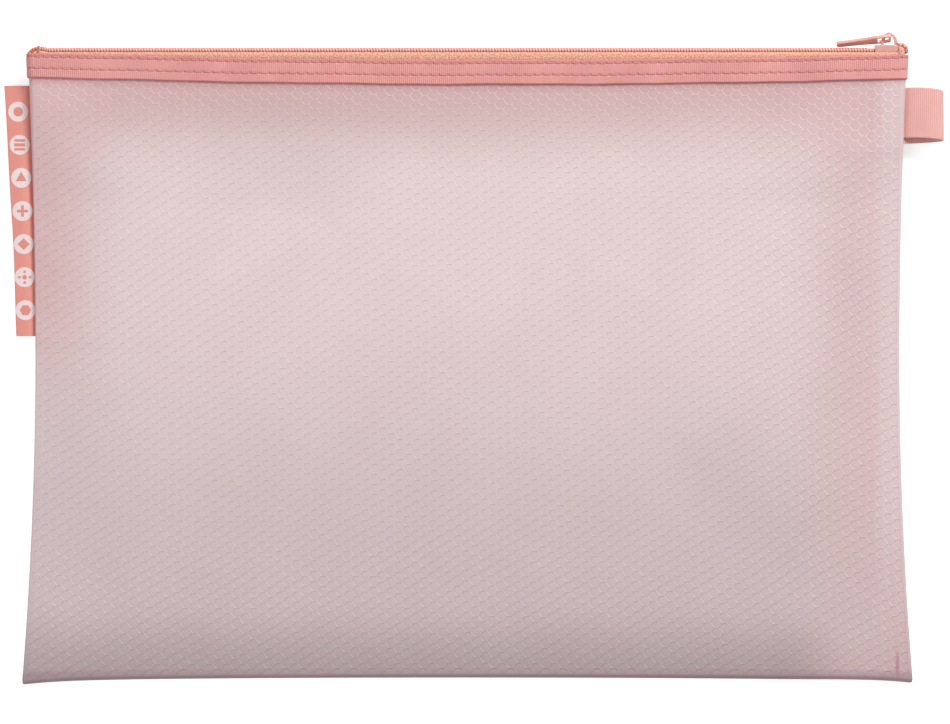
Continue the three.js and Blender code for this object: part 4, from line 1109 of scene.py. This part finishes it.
def zipper_tape(name, out):
    left, right = CHAIN_LEFT + TAPE_LEFT_FINE, CHAIN_RIGHT - TAPE_RIGHT_FINE
    x = in_line(
        np.linspace(CHAIN_LEFT + TAPE_LEFT_INSET, left, 24)[:-1], np.linspace(left, right, 230)[:-1],
        np.linspace(right, CHAIN_RIGHT - TAPE_RIGHT_INSET, 12))
    s = in_line(0, 0.3, 0.6, 0.85, np.linspace(1, 2, 9), np.linspace(2.06, 3, 12))
    outer = tape_point(*np.broadcast_arrays(x[:, None], s), out)
    normal = unit(np.cross(np.gradient(outer, axis=0), np.gradient(outer, axis=1)))
    middle = len(x) // 2
    normal *= np.sign(normal[middle, -1, 2] * out)
    return closed_sheet(name, outer, outer - normal * TAPE, x, run_length(outer[middle]), [WEAVE])


def parting(x):
    """How far each half of the coil stands from its closed place, beside the slider's divider."""
    parted = SLIDER_HEAD - DIVIDER_LENGTH / 2
    return smooth(parted - SPREAD_LENGTH, parted, x) * (TAPE_EDGE - CHAIN_GAP / 2)


def squared(value):
    """A sine or cosine that stays longer near its ends."""
    return np.sign(value) * np.abs(value) ** COIL_SQUARENESS


def chain_path():
    """The chain's line with its length, down round the corner at each end."""
    x = np.linspace(CHAIN_LEFT + COIL_END_INSET, CHAIN_RIGHT - COIL_END_INSET, 6000)
    y = chain_line(x)
    path = stacked(in_line(x[0], x, x[-1]), in_line(y[0] - COIL_LEFT_TAIL, y, y[-1] - COIL_RIGHT_TAIL))
    return path, run_length(path)


CHAIN_PATH, CHAIN_LENGTH = chain_path()


def on_chain(along):
    return stacked(*(np.interp(along, CHAIN_LENGTH, axis) for axis in CHAIN_PATH.T))


def coil(name, out):
    steep = np.abs(np.gradient(CHAIN_PATH[:, 1], CHAIN_LENGTH))
    turns = in_line(0, np.cumsum(np.diff(CHAIN_LENGTH) * (1 + COIL_CROWDING * steep[1:]))) / COIL_PITCH
    turn = np.arange(int(turns[-1] - 0.5) * COIL_STEPS + 1) * 2 * math.pi / COIL_STEPS
    along = np.interp(turn / (2 * math.pi) + (0.5 if out < 0 else 0), turns, CHAIN_LENGTH)
    tangent = unit(on_chain(along + COIL_LOOK_AHEAD) - on_chain(along - COIL_LOOK_AHEAD))
    up = stacked(-tangent[:, 1], tangent[:, 0])
    x, y = on_chain(along).T
    rise = COIL_LEVEL + (COIL_HEIGHT / 2 - COIL_WIRE) * squared(np.sin(turn))
    away = COIL_WIDTH / 2 - (COIL_WIDTH / 2 - COIL_WIRE) * squared(np.cos(turn))
    z = MOUTH_Z + out * (CHAIN_GAP / 2 + parting(x) + away)
    line = stacked(x + up[:, 0] * rise, y + up[:, 1] * rise, z)[None]
    facing = stacked(0.3, np.sin(turn), -out * np.cos(turn))
    wire = COIL_WIRE * (1 + COIL_END_SWELL * np.abs(up[:, 0]))
    return tubes(name, line, 6, facing, wire, NYLON)


def coil_core(name, out):
    """The cord inside the coil's turns, seen between them."""
    x, y = on_chain(np.linspace(COIL_PITCH / 2, CHAIN_LENGTH[-1] - COIL_PITCH / 2, 700)).T
    slope = unit(stacked(np.gradient(x), np.gradient(y)))
    z = MOUTH_Z + out * (CHAIN_GAP / 2 + parting(x) + COIL_WIDTH / 2)
    line = stacked(x - slope[:, 1] * COIL_LEVEL, y + slope[:, 0] * COIL_LEVEL, z)[None]
    return tubes(name, line, 8, (0.0, 0.0, 1.0), COIL_CORE, CORE_CORD)


def coil_seam(name, out):
    """The sewing thread that holds a coil to its tape, one stitch over each turn."""
    start = CHAIN_LEFT + COIL_SEAM_START
    count = int((SLIDER_HEAD - SLIDER_LENGTH - COIL_SEAM_END - start) / COIL_PITCH)
    share = np.array([0.0, 0.2, 0.5, 0.8, 1.0])
    x = start + (np.arange(count)[:, None] + share) * COIL_PITCH
    y = chain_line(x) + COIL_TOP + np.array([-0.22, -0.02, 0.03, -0.02, -0.22])
    across = out * (CHAIN_GAP / 2 + COIL_WIDTH * COIL_SEAM_ACROSS)
    z = MOUTH_Z + across + COIL_SEAM_RISE * np.sin(share * math.pi)
    return tubes(name, stacked(x, y, z), 5, (0.0, 1.0, 0.0), COIL_THREAD, THREAD_LOOK)


def end_tack():
    """Turns of thread over both halves of the coil and down the tapes' outer faces."""
    x = CHAIN_LEFT + TACK_INSET + np.linspace(0.1, TACK_LENGTH - 0.1, 4)
    s = np.array([2.12, 2.0, 1.75, 1.5, 1.25, 1.0])
    turn = (2 - s) * math.pi / 2
    front = tape_point(*np.broadcast_arrays(x[:, None], s), 1)
    front += TACK_LIFT * stacked(0, np.sin(turn), np.cos(turn))
    height = np.array([COIL_TOP * 0.75, COIL_TOP + 0.03, COIL_TOP + 0.06])
    away = np.array([COIL_SIDE + 0.1, COIL_SIDE * 0.8, 0])
    over = stacked(x[:, None], chain_line(x)[:, None] + height, MOUTH_Z + away)
    half = np.concatenate([front, over], 1)
    other = half[:, -2::-1] * [1, 1, -1] + [0, 0, 2 * MOUTH_Z]
    lines = np.concatenate([half, other], 1)
    facing = unit((lines - [0, CHAIN_Y - 1, MOUTH_Z]) * [0, 1, 1])
    return tubes("open_end_tack", lines, 6, facing, TACK_WIRE, TACK_THREAD)


for side_name, out in FACES:
    tape = zipper_tape(f"{side_name}_woven_tape", out)
    dress(tape, "pouch", "zipper_tape", f"{side_name}_zipper_tape")
    dress(coil(f"{side_name}_wound_coil", out), "pouch", "coil", f"{side_name}_coil")
    dress(coil_core(f"{side_name}_core_cord", out), "pouch", "coil")
    dress(coil_seam(f"{side_name}_coil_thread", out), "pouch", "thread")
dress(end_tack(), "pouch", "thread", "zipper_end_tack")

# Side seams, seen faintly through the film

SEAM_HEIGHTS = np.linspace(float(fold_line(1.0)) + 1, CHAIN_Y - SEAM_TOP_DROP, 150)


def seam_binding(name, side):
    y = SEAM_HEIGHTS
    start = main_half_width(side, y) - LAYER_GAP
    bend = start - ALLOWANCE
    inner = return_half_gap(side, y) + FILM + LAYER_GAP
    outer = inner + SEAM_TAPE
    round_x = bend - SEAM_TAPE
    outline = [(start, inner), (start, outer), (bend, outer), (round_x, outer * 0.6), (round_x, -outer * 0.6),
               (bend, -outer), (start, -outer), (start, -inner), (bend, -inner), (bend, inner)]
    rings = np.stack([stacked(side * x, y, seam_mid(y) + away) for x, away in outline], 1)
    count = len(outline)
    last = (len(y) - 1) * count
    caps = [tuple(range(count)), tuple(last + k for k in reversed(range(count)))]
    faces = grid_faces(len(y), count, 0, True).tolist() + caps
    return face_out(add_mesh(name, rings.reshape(-1, 3), faces, [SEAM_WEAVE]))


def seam_stitches(name, side, face):
    first = np.arange(SEAM_HEIGHTS[0], SEAM_HEIGHTS[-1] - SEAM_PITCH, SEAM_PITCH)
    y = first[:, None] + np.array([0.05, 0.25, 0.5, 0.75, 0.95]) * SEAM_PITCH
    lift = np.array([-0.2, 0.0, 0.04, 0.0, -0.2])
    away = return_half_gap(side, y) + FILM + LAYER_GAP + SEAM_TAPE + THREAD_GAP + lift
    x = side * (main_half_width(side, y) - SEAM_STITCH_INSET)
    lines = stacked(x, y, seam_mid(y) + face * away)
    return tubes(name, lines, 6, (0.0, 0.0, face), SEAM_RADIUS, THREAD_LOOK)


for side_name, side in (("left", -1), ("right", 1)):
    dress(seam_binding(f"{side_name}_seam_binding", side), "pouch", "seam_tape", f"{side_name}_seam_tape")
    for face_name, face in FACES:
        row = seam_stitches(f"{side_name}_{face_name}_seam_thread", side, face)
        dress(row, "pouch", "thread", f"{side_name}_seam_{face_name}_stitches")

# Ribbon loop


def loop_path():
    """The loop's middle line as (x, height) points at even steps, and the length at each."""
    middle = LOOP_TOP_Y - LOOP_WIDTH / 2
    edge = half_width(middle)
    tail = RETURN_HALF_GAP + RIBBON
    far = edge + LOOP_REACH - LOOP_HALF_HEIGHT
    t = np.linspace(0, 1, 30)
    leg = stacked(mix(edge, far, t), mix(tail, LOOP_HALF_HEIGHT, np.sin(math.pi / 2 * t)))
    angle = np.linspace(0, math.pi, 40)[1:-1]
    arc = stacked(far + LOOP_HALF_HEIGHT * np.sin(angle), LOOP_HALF_HEIGHT * np.cos(angle))
    sewn = stacked(np.linspace(main_half_width(1, middle) - LOOP_TAIL, edge, 8)[:-1], tail)
    front = np.concatenate([sewn, leg])
    path = np.concatenate([front, arc, front[::-1] * [1, -1]])
    length = run_length(path)
    even = np.linspace(0, length[-1], int(length[-1] / (RIB_PITCH / RIB_STEPS)) + 1)
    return stacked(*(np.interp(even, length, axis) for axis in path.T)), even


def ribbon_loop():
    path, length = loop_path()
    near = np.array([0, 0.08, 0.3, 0.7, 1.3, 3, 5, 7.5])
    v = in_line(near, LOOP_WIDTH / 2, LOOP_WIDTH - near[::-1])
    edge = np.minimum(v, LOOP_WIDTH - v)
    share = (length / length[-1])[:, None]
    tangent = unit(np.gradient(path, axis=0))
    normal = stacked(-tangent[:, 1], tangent[:, 0])
    rib = RIB_DEPTH * np.cos(2 * math.pi * length / RIB_PITCH)[:, None]
    rise = rib * smooth(0, LOOP_SELVEDGE, edge) - EDGE_DROP * (1 - smooth(0, LOOP_EDGE_ROUND, edge))
    arch = LOOP_ARCH * np.sin(2 * math.pi * np.clip((share - ARCH_START) / ARCH_LENGTH, 0, 1)) * (share < 0.5)
    lean = LOOP_LEAN * np.sin(math.pi * share) * np.cos(math.pi * v / LOOP_WIDTH) * (share > LEAN_START)
    y = LOOP_TOP_Y + LOOP_RAISE - v - LOOP_SKEW * smooth(0, 1, share) + arch

    def face(depth):
        flat = path[:, None] + normal[:, None] * depth[..., None]
        return stacked(flat[..., 0] - lean, y, seam_mid(y) + flat[..., 1])

    inner = face(np.full(rise.shape, -RIBBON))
    return closed_sheet("grosgrain_loop", face(rise), inner, length, v, [LOOP_GROSGRAIN])


LOOP = dress(ribbon_loop(), "pouch", "ribbon", "ribbon_loop")

# Folded label with generic marks

LABEL_SWELL = 0.22
LABEL_WAVE = 0.12
LABEL_THINNEST = 0.02
LABEL_FOLD_STEPS = 9
# The row of points near its middle that the satin's length is measured along
LABEL_MIDDLE = 60


def label_reach(y):
    return mix(LABEL_REACH_TOP, LABEL_REACH_BOTTOM, (LABEL_TOP_Y - y) / LABEL_LENGTH)


def label_lift(x, y):
    """Half the label's thickness across, fullest near its fold, with a slow wave along it."""
    out = np.clip((np.abs(x) - half_width(y)) / label_reach(y), 0, 1)
    swell = LABEL_SWELL * np.sin(math.pi * out**1.5)
    return RETURN_HALF_GAP + SATIN + swell + LABEL_WAVE * np.sin(y / 9.0) * out


def satin_label():
    ends = np.array([0, 0.06, 0.2])
    v = in_line(ends, np.linspace(0.5, LABEL_LENGTH - 0.5, 110), LABEL_LENGTH - ends[::-1])
    y = LABEL_TOP_Y - v
    start = main_half_width(-1, y) - LABEL_TAIL
    tip = half_width(y) + label_reach(y) - RETURN_HALF_GAP - SATIN
    leg = np.linspace(0, 1, 22)[:-1] ** 0.9
    share = in_line(leg, np.ones(LABEL_FOLD_STEPS), leg[::-1])[:, None]
    up = np.full(len(leg), math.pi / 2)
    angle = in_line(up, np.linspace(up[0], -up[0], LABEL_FOLD_STEPS), -up)[:, None]
    flat_x = start + share * (tip - start)
    thick = label_lift(flat_x, y)

    def face(half):
        return stacked(-(flat_x + half * np.cos(angle) * (share >= 1)), y, seam_mid(y) + half * np.sin(angle))

    outer = face(thick)
    length = run_length(outer[:, LABEL_MIDDLE])
    inner = face(np.maximum(LABEL_THINNEST, thick - SATIN))
    return closed_sheet("satin_label", outer, inner, length, v, [SATIN_LOOK])


def on_label(shape, centre_y, lift):
    """Flat outline points (x, y) round the label's middle, laid on its front."""
    y = centre_y + shape[:, 1]
    x = half_width(centre_y) + label_reach(centre_y) / 2 - shape[:, 0]
    return stacked(-x, y, seam_mid(y) + label_lift(x, y) + lift)


def polygon(radius, count, turn=0.0, cx=0.0, cy=0.0):
    angle = turn + np.arange(count) * 2 * math.pi / count
    return stacked(cx + radius * np.cos(angle), cy + radius * np.sin(angle))


def bar(cx, cy, wide, high):
    return np.array([[cx, cy]]) + np.array([[-1, -1], [1, -1], [1, 1], [-1, 1]]) * [wide / 2, high / 2]


MARK_RADIUS = 3.8
MOTIF_SCALE = 1.2
MARK_PITCH = 12.6
DISC_LIFT = 0.05
MOTIF_LIFT = 0.08
INK_THICKNESS = 0.03
INK_STEP = 0.4
DOTS = ((1.7, 0), (0, 1.7), (-1.7, 0), (0, -1.7))
MOTIFS = [
    [polygon(1.5, 40)],
    [bar(0, 0, 3.4, 1.0), bar(0, 1.4, 3.4, 0.8), bar(0, -1.4, 3.4, 0.8)],
    [polygon(2.0, 3, math.pi / 2)],
    [bar(0, 0, 0.9, 3.6), bar(-1.1, 0, 1.3, 0.9), bar(1.1, 0, 1.3, 0.9)],
    [polygon(1.9, 4)],
    [polygon(0.75, 20), *[polygon(0.45, 16, 0.0, cx, cy) for cx, cy in DOTS]],
    [polygon(1.8, 6)],
]


def finer(outline, step):
    """The outline with points added along its longer sides."""
    pairs = zip(outline, np.roll(outline, -1, 0))
    sides = [(one, two, max(1, int(np.linalg.norm(two - one) / step))) for one, two in pairs]
    return np.concatenate([mix(one, two, np.arange(count)[:, None] / count) for one, two, count in sides])


def printed(name, marks, lift, look):
    """Thin plates of ink that follow the satin. marks are (level on the label, outline round its middle)."""
    points, faces = [], []
    shares = (0.25, 0.5, 0.75, 1.0)
    for level, outline in marks:
        shape = finer(outline, INK_STEP)
        middle, count = shape.mean(0), len(shape)
        start = len(points)
        for height in (lift, lift - INK_THICKNESS):
            for share in shares:
                points += on_label(middle + (shape - middle) * share, level, height).tolist()
        below = len(shares) * count
        last = start + below - count
        faces.append(tuple(range(start, start + count)))
        faces.append(tuple(start + below + k for k in reversed(range(count))))
        for k in range(count):
            after = (k + 1) % count
            for one in range(start, last, count):
                two = one + count
                faces.append((one + k, two + k, two + after, one + after))
                faces.append((one + below + k, one + below + after, two + below + after, two + below + k))
            faces.append((last + k, last + below + k, last + below + after, last + after))
    return face_out(add_mesh(name, points, faces, [look], shade=False))


def label_marks():
    first = LABEL_TOP_Y - (LABEL_LENGTH - (len(MOTIFS) - 1) * MARK_PITCH) / 2
    levels = [first - k * MARK_PITCH for k in range(len(MOTIFS))]
    discs = [(y, polygon(MARK_RADIUS, 40)) for y in levels]
    motifs = [(y, shape * MOTIF_SCALE) for y, shapes in zip(levels, MOTIFS) for shape in shapes]
    dress(printed("label_discs", discs, DISC_LIFT, INK), "pouch", "label")
    dress(printed("label_motifs", motifs, MOTIF_LIFT, MOTIF_INK), "pouch", "label")


LABEL = dress(satin_label(), "pouch", "label", "side_label")
label_marks()

# Slider and puller, each worked out flat in its own frame: x along the zipper, y out of the pouch, z across

PLATE_BEVEL = 0.28
WALL_BEVEL = 0.06
POST_BEVEL = 0.03
ARCH_BEVEL = 0.35
PULLER_BEVEL = 0.3
CAST_GRAIN = 0.07
# How far the slider's pieces reach into each other where they are cast as one
OVERLAP = 0.2
WALL_OVERLAP = 0.3


def curve_points(start, control, end, count=8):
    start, control, end = np.array((start, control, end))
    t = np.linspace(0, 1, count)[1:, None]
    return ((1 - t) ** 2 * start + 2 * t * (1 - t) * control + t**2 * end).tolist()


def arc(centre, radii, start, end, count):
    angle = np.radians(np.linspace(start, end, count))
    return stacked(centre[0] + radii[0] * np.cos(angle), centre[1] + radii[1] * np.sin(angle)).tolist()


def mirrored(points):
    return [[x, -z] for x, z in points[::-1]]


def slider_outline(rear_half, head_half):
    corner = SLIDER_CORNER
    rear, head = -SLIDER_LENGTH / 2, SLIDER_LENGTH / 2
    waist = mix(rear, head, SLIDER_WAIST)
    points = [[rear, -rear_half + corner]]
    points += curve_points(points[-1], (rear, -rear_half), (rear + corner, -rear_half))
    points += curve_points(points[-1], (waist, -rear_half), (head - corner * 1.5, -head_half), 14)
    points += curve_points(points[-1], (head, -head_half), (head, -head_half + corner))
    return points + mirrored(points)


def puller_outlines():
    half = PULLER_WIDTH / 2
    end = PULLER_BAR / 2
    tip = -(PULLER_LENGTH - end - TIP_RADIUS)
    side = [[end, 0], [end, half - BAR_CORNER]]
    side += curve_points(side[-1], (end, half), (end - BAR_CORNER, half))
    side += [[-EYE_LENGTH - SHOULDER_LENGTH, half]]
    side += curve_points(side[-1], (-PULLER_LENGTH / 2, half * PULLER_WAIST), (tip, TIP_RADIUS), 14)
    side += arc((tip, 0), (TIP_RADIUS, TIP_RADIUS), 90, 180, 12)[1:]
    gap = CROWN_WIDTH / 2 + EYE_CLEARANCE
    eye = [[-end, 0], [-end, gap], [-EYE_LENGTH + EYE_CORNER, gap]]
    eye += curve_points(eye[-1], (-EYE_LENGTH, gap), (-EYE_LENGTH, gap - EYE_CORNER))
    return side + mirrored(side[1:-1]), eye + mirrored(eye[1:])


def slab_mesh(outlines, low, high, bevel):
    """A flat outline, with any holes, as a slab with rounded edges. Its points are (x, z) and then height."""
    data = bpy.data.curves.new("outline", "CURVE")
    data.dimensions = "2D"
    data.fill_mode = "BOTH"
    data.extrude = (high - low) / 2 - bevel
    data.bevel_depth = bevel
    data.bevel_resolution = 3
    data.offset = -bevel
    for points in outlines:
        spline = data.splines.new("POLY")
        spline.points.add(len(points) - 1)
        for place, (x, z) in zip(spline.points, points):
            place.co = (x, z, 0, 1)
        spline.use_cyclic_u = True
    holder = in_scene("outline", data)
    bpy.context.view_layer.update()
    mesh = evaluated(holder)
    bpy.data.objects.remove(holder)
    points = np.zeros(len(mesh.vertices) * 3)
    mesh.vertices.foreach_get("co", points)
    faces = [tuple(polygon.vertices) for polygon in mesh.polygons]
    bpy.data.meshes.remove(mesh)
    return points.reshape(-1, 3) + [0, 0, (low + high) / 2], faces


def modified(piece, kind, **values):
    modifier = piece.modifiers.new(kind.lower(), kind)
    for key, value in values.items():
        setattr(modifier, key, value)
    mesh = evaluated(piece)
    piece.modifiers.clear()
    piece.data = mesh


def cast(name, parts):
    """Overlapping solids cast as one: fused on a fine grid and softened, then brought to metres."""
    points, faces = [], []
    for part_points, part_faces in parts:
        faces += [tuple(v + len(points) for v in face) for face in part_faces]
        points += part_points.tolist()
    piece = face_out(add_mesh(name, np.array(points) / MM, faces, [LACQUER]))
    modified(piece, "REMESH", mode="VOXEL", voxel_size=CAST_GRAIN)
    modified(piece, "SMOOTH", factor=0.5, iterations=3)
    modified(piece, "DECIMATE", ratio=0.35)
    piece.data.transform(Matrix.Scale(MM, 4))
    piece.data.polygons.foreach_set("use_smooth", np.full(len(piece.data.polygons), True))
    if not piece.data.materials:
        piece.data.materials.append(LACQUER)
    return piece


def upright(points):
    """From (x, z, height) to x, height out of the pouch, z."""
    return stacked(points[:, 0], points[:, 2], -points[:, 1])


def slider_parts():
    rear_inner = COIL_SIDE + SLIDER_CLEARANCE
    head_inner = TAPE_EDGE + COIL_WIDTH + SLIDER_CLEARANCE
    outer = slider_outline(rear_inner + SLIDER_WALL, head_inner + SLIDER_WALL)
    inner = slider_outline(rear_inner, head_inner)
    parts = [
        slab_mesh([outer], CHANNEL_TOP, PLATE_TOP, PLATE_BEVEL),
        slab_mesh([outer], CHANNEL_BOTTOM - SLIDER_PLATE, CHANNEL_BOTTOM, PLATE_BEVEL),
    ]
    half = len(outer) // 2
    for wall in (slice(4, half - 3), slice(half + 3, -4)):
        outline = outer[wall] + inner[wall][::-1]
        parts.append(slab_mesh([outline], SLOT_CLEARANCE, CHANNEL_TOP + WALL_OVERLAP, WALL_BEVEL))
    head = SLIDER_LENGTH / 2
    post = [[head - OVERLAP, DIVIDER_HALF], [head - DIVIDER_LENGTH / 2, DIVIDER_HALF],
            [head - DIVIDER_LENGTH, CHAIN_GAP / 3]]
    post = mirrored(post) + post
    parts.append(slab_mesh([post], CHANNEL_BOTTOM - OVERLAP, CHANNEL_TOP + OVERLAP, POST_BEVEL))
    solid = [(upright(points), faces) for points, faces in parts]
    middle = (CROWN_FORWARD, PLATE_TOP)
    front, rear = CROWN_FORWARD + CROWN_LENGTH / 2, CROWN_FORWARD - CROWN_LENGTH / 2
    foot = PLATE_TOP - 2 * OVERLAP
    arch = [[front, foot]]
    arch += arc(middle, (CROWN_LENGTH / 2 + CROWN_FULL, CROWN_HEIGHT + CROWN_FULL), 0, 180, 28)
    arch += [[rear, foot], [rear + CROWN_BAR, foot]]
    arch += arc(middle, (CROWN_LENGTH / 2 - CROWN_BAR, CROWN_HEIGHT - CROWN_BAR), 180, 0, 24)
    arch += [[front - CROWN_BAR, foot]]
    return solid + [slab_mesh([arch], -CROWN_WIDTH / 2, CROWN_WIDTH / 2, ARCH_BEVEL)]


def moved(piece, x, y, z, turn=0.0):
    piece.data.transform(Matrix.Translation((x * MM, y * MM, z * MM)) @ Matrix.Rotation(turn, 4, "Z"))
    return piece


def painted_puller():
    thick = PULLER_THICKNESS / 2
    points, faces = slab_mesh(puller_outlines(), -thick, thick, PULLER_BEVEL)
    c, s = math.cos(math.radians(PULLER_TILT)), math.sin(math.radians(PULLER_TILT))
    x, y, z = upright(points).T
    return face_out(add_mesh("painted_puller", stacked(x, y * c + z * s, z * c - y * s), faces, [LACQUER]))


SLIDER = moved(cast("cast_slider", slider_parts()), SLIDER_X, CHAIN_Y, MOUTH_Z)
dress(SLIDER, "slider", "painted_metal", "slider_body")
TIP_DROP = PLATE_TOP + HINGE_LIFT - COIL_TOP - LAYER_GAP - PULLER_THICKNESS / 2 - PULLER_RAISE
DIP = math.asin(TIP_DROP / (PULLER_LENGTH - PULLER_BAR))
HINGE = (SLIDER_X + CROWN_FORWARD + HINGE_FORWARD, CHAIN_Y + PLATE_TOP + HINGE_LIFT, MOUTH_Z)
dress(moved(painted_puller(), *HINGE, DIP), "puller", "painted_metal", "puller")

# Floor, light and camera

FLOOR_HALF = 3000.0
FLOOR_GLOW = 0.6
WORLD_STRENGTH = 0.38
CAMERA_HEIGHT = 3000.0
VIEW_WIDTH = 361.95
VIEW_CENTRE = (2.86, 0.95)
SENSOR = 36.0
FACE_LEVEL = 7.0


def floor_look():
    look = Look("white_floor", (0.82, 0.82, 0.82), 0.9, Emission_Color=(1, 1, 1, 1))
    rays = look.add("ShaderNodeLightPath").outputs
    seen = look.highest(*(rays[f"Is {kind} Ray"] for kind in ("Camera", "Glossy", "Transmission")))
    tone = look.grey(look.noise(look.place(), 0.05), 0.8, 0.83)
    return look.fed(Base_Color=tone, Emission_Strength=look.times(seen, FLOOR_GLOW))


def floor():
    corners = [(-1, -1, 0), (1, -1, 0), (1, 1, 0), (-1, 1, 0)]
    add_mesh("floor", np.array(corners) * FLOOR_HALF, [(0, 1, 2, 3)], [floor_look()])


def lamp(name, place, aim, side, power):
    data = bpy.data.lights.new(name, "AREA")
    data.shape = "RECTANGLE"
    data.size = data.size_y = side * MM
    data.energy = power
    holder = in_scene(name, data)
    holder.location = [v * MM for v in place]
    way = Vector([(a - p) * MM for a, p in zip(aim, place)])
    holder.rotation_euler = way.to_track_quat("-Z", "Y").to_euler()


def light():
    lamp("key", (760, 1320, 1020), (0, 20, 0), 620, 30.5)
    lamp("fill", (-760, -420, 1100), (0, 0, 0), 1200, 7.0)
    world = bpy.data.worlds.new("studio")
    world.use_nodes = True
    back = world.node_tree.nodes["Background"]
    back.inputs["Color"].default_value = (1, 1, 1, 1)
    back.inputs["Strength"].default_value = WORLD_STRENGTH
    bpy.context.scene.world = world


def camera():
    data = bpy.data.cameras.new("camera")
    data.sensor_width = SENSOR
    data.lens = SENSOR * (CAMERA_HEIGHT - FACE_LEVEL) / VIEW_WIDTH
    holder = in_scene("camera", data)
    holder.location = (VIEW_CENTRE[0] * MM, VIEW_CENTRE[1] * MM, CAMERA_HEIGHT * MM)
    bpy.context.scene.camera = holder


floor()
light()
camera()
bpy.context.scene.view_settings.view_transform = "Standard"
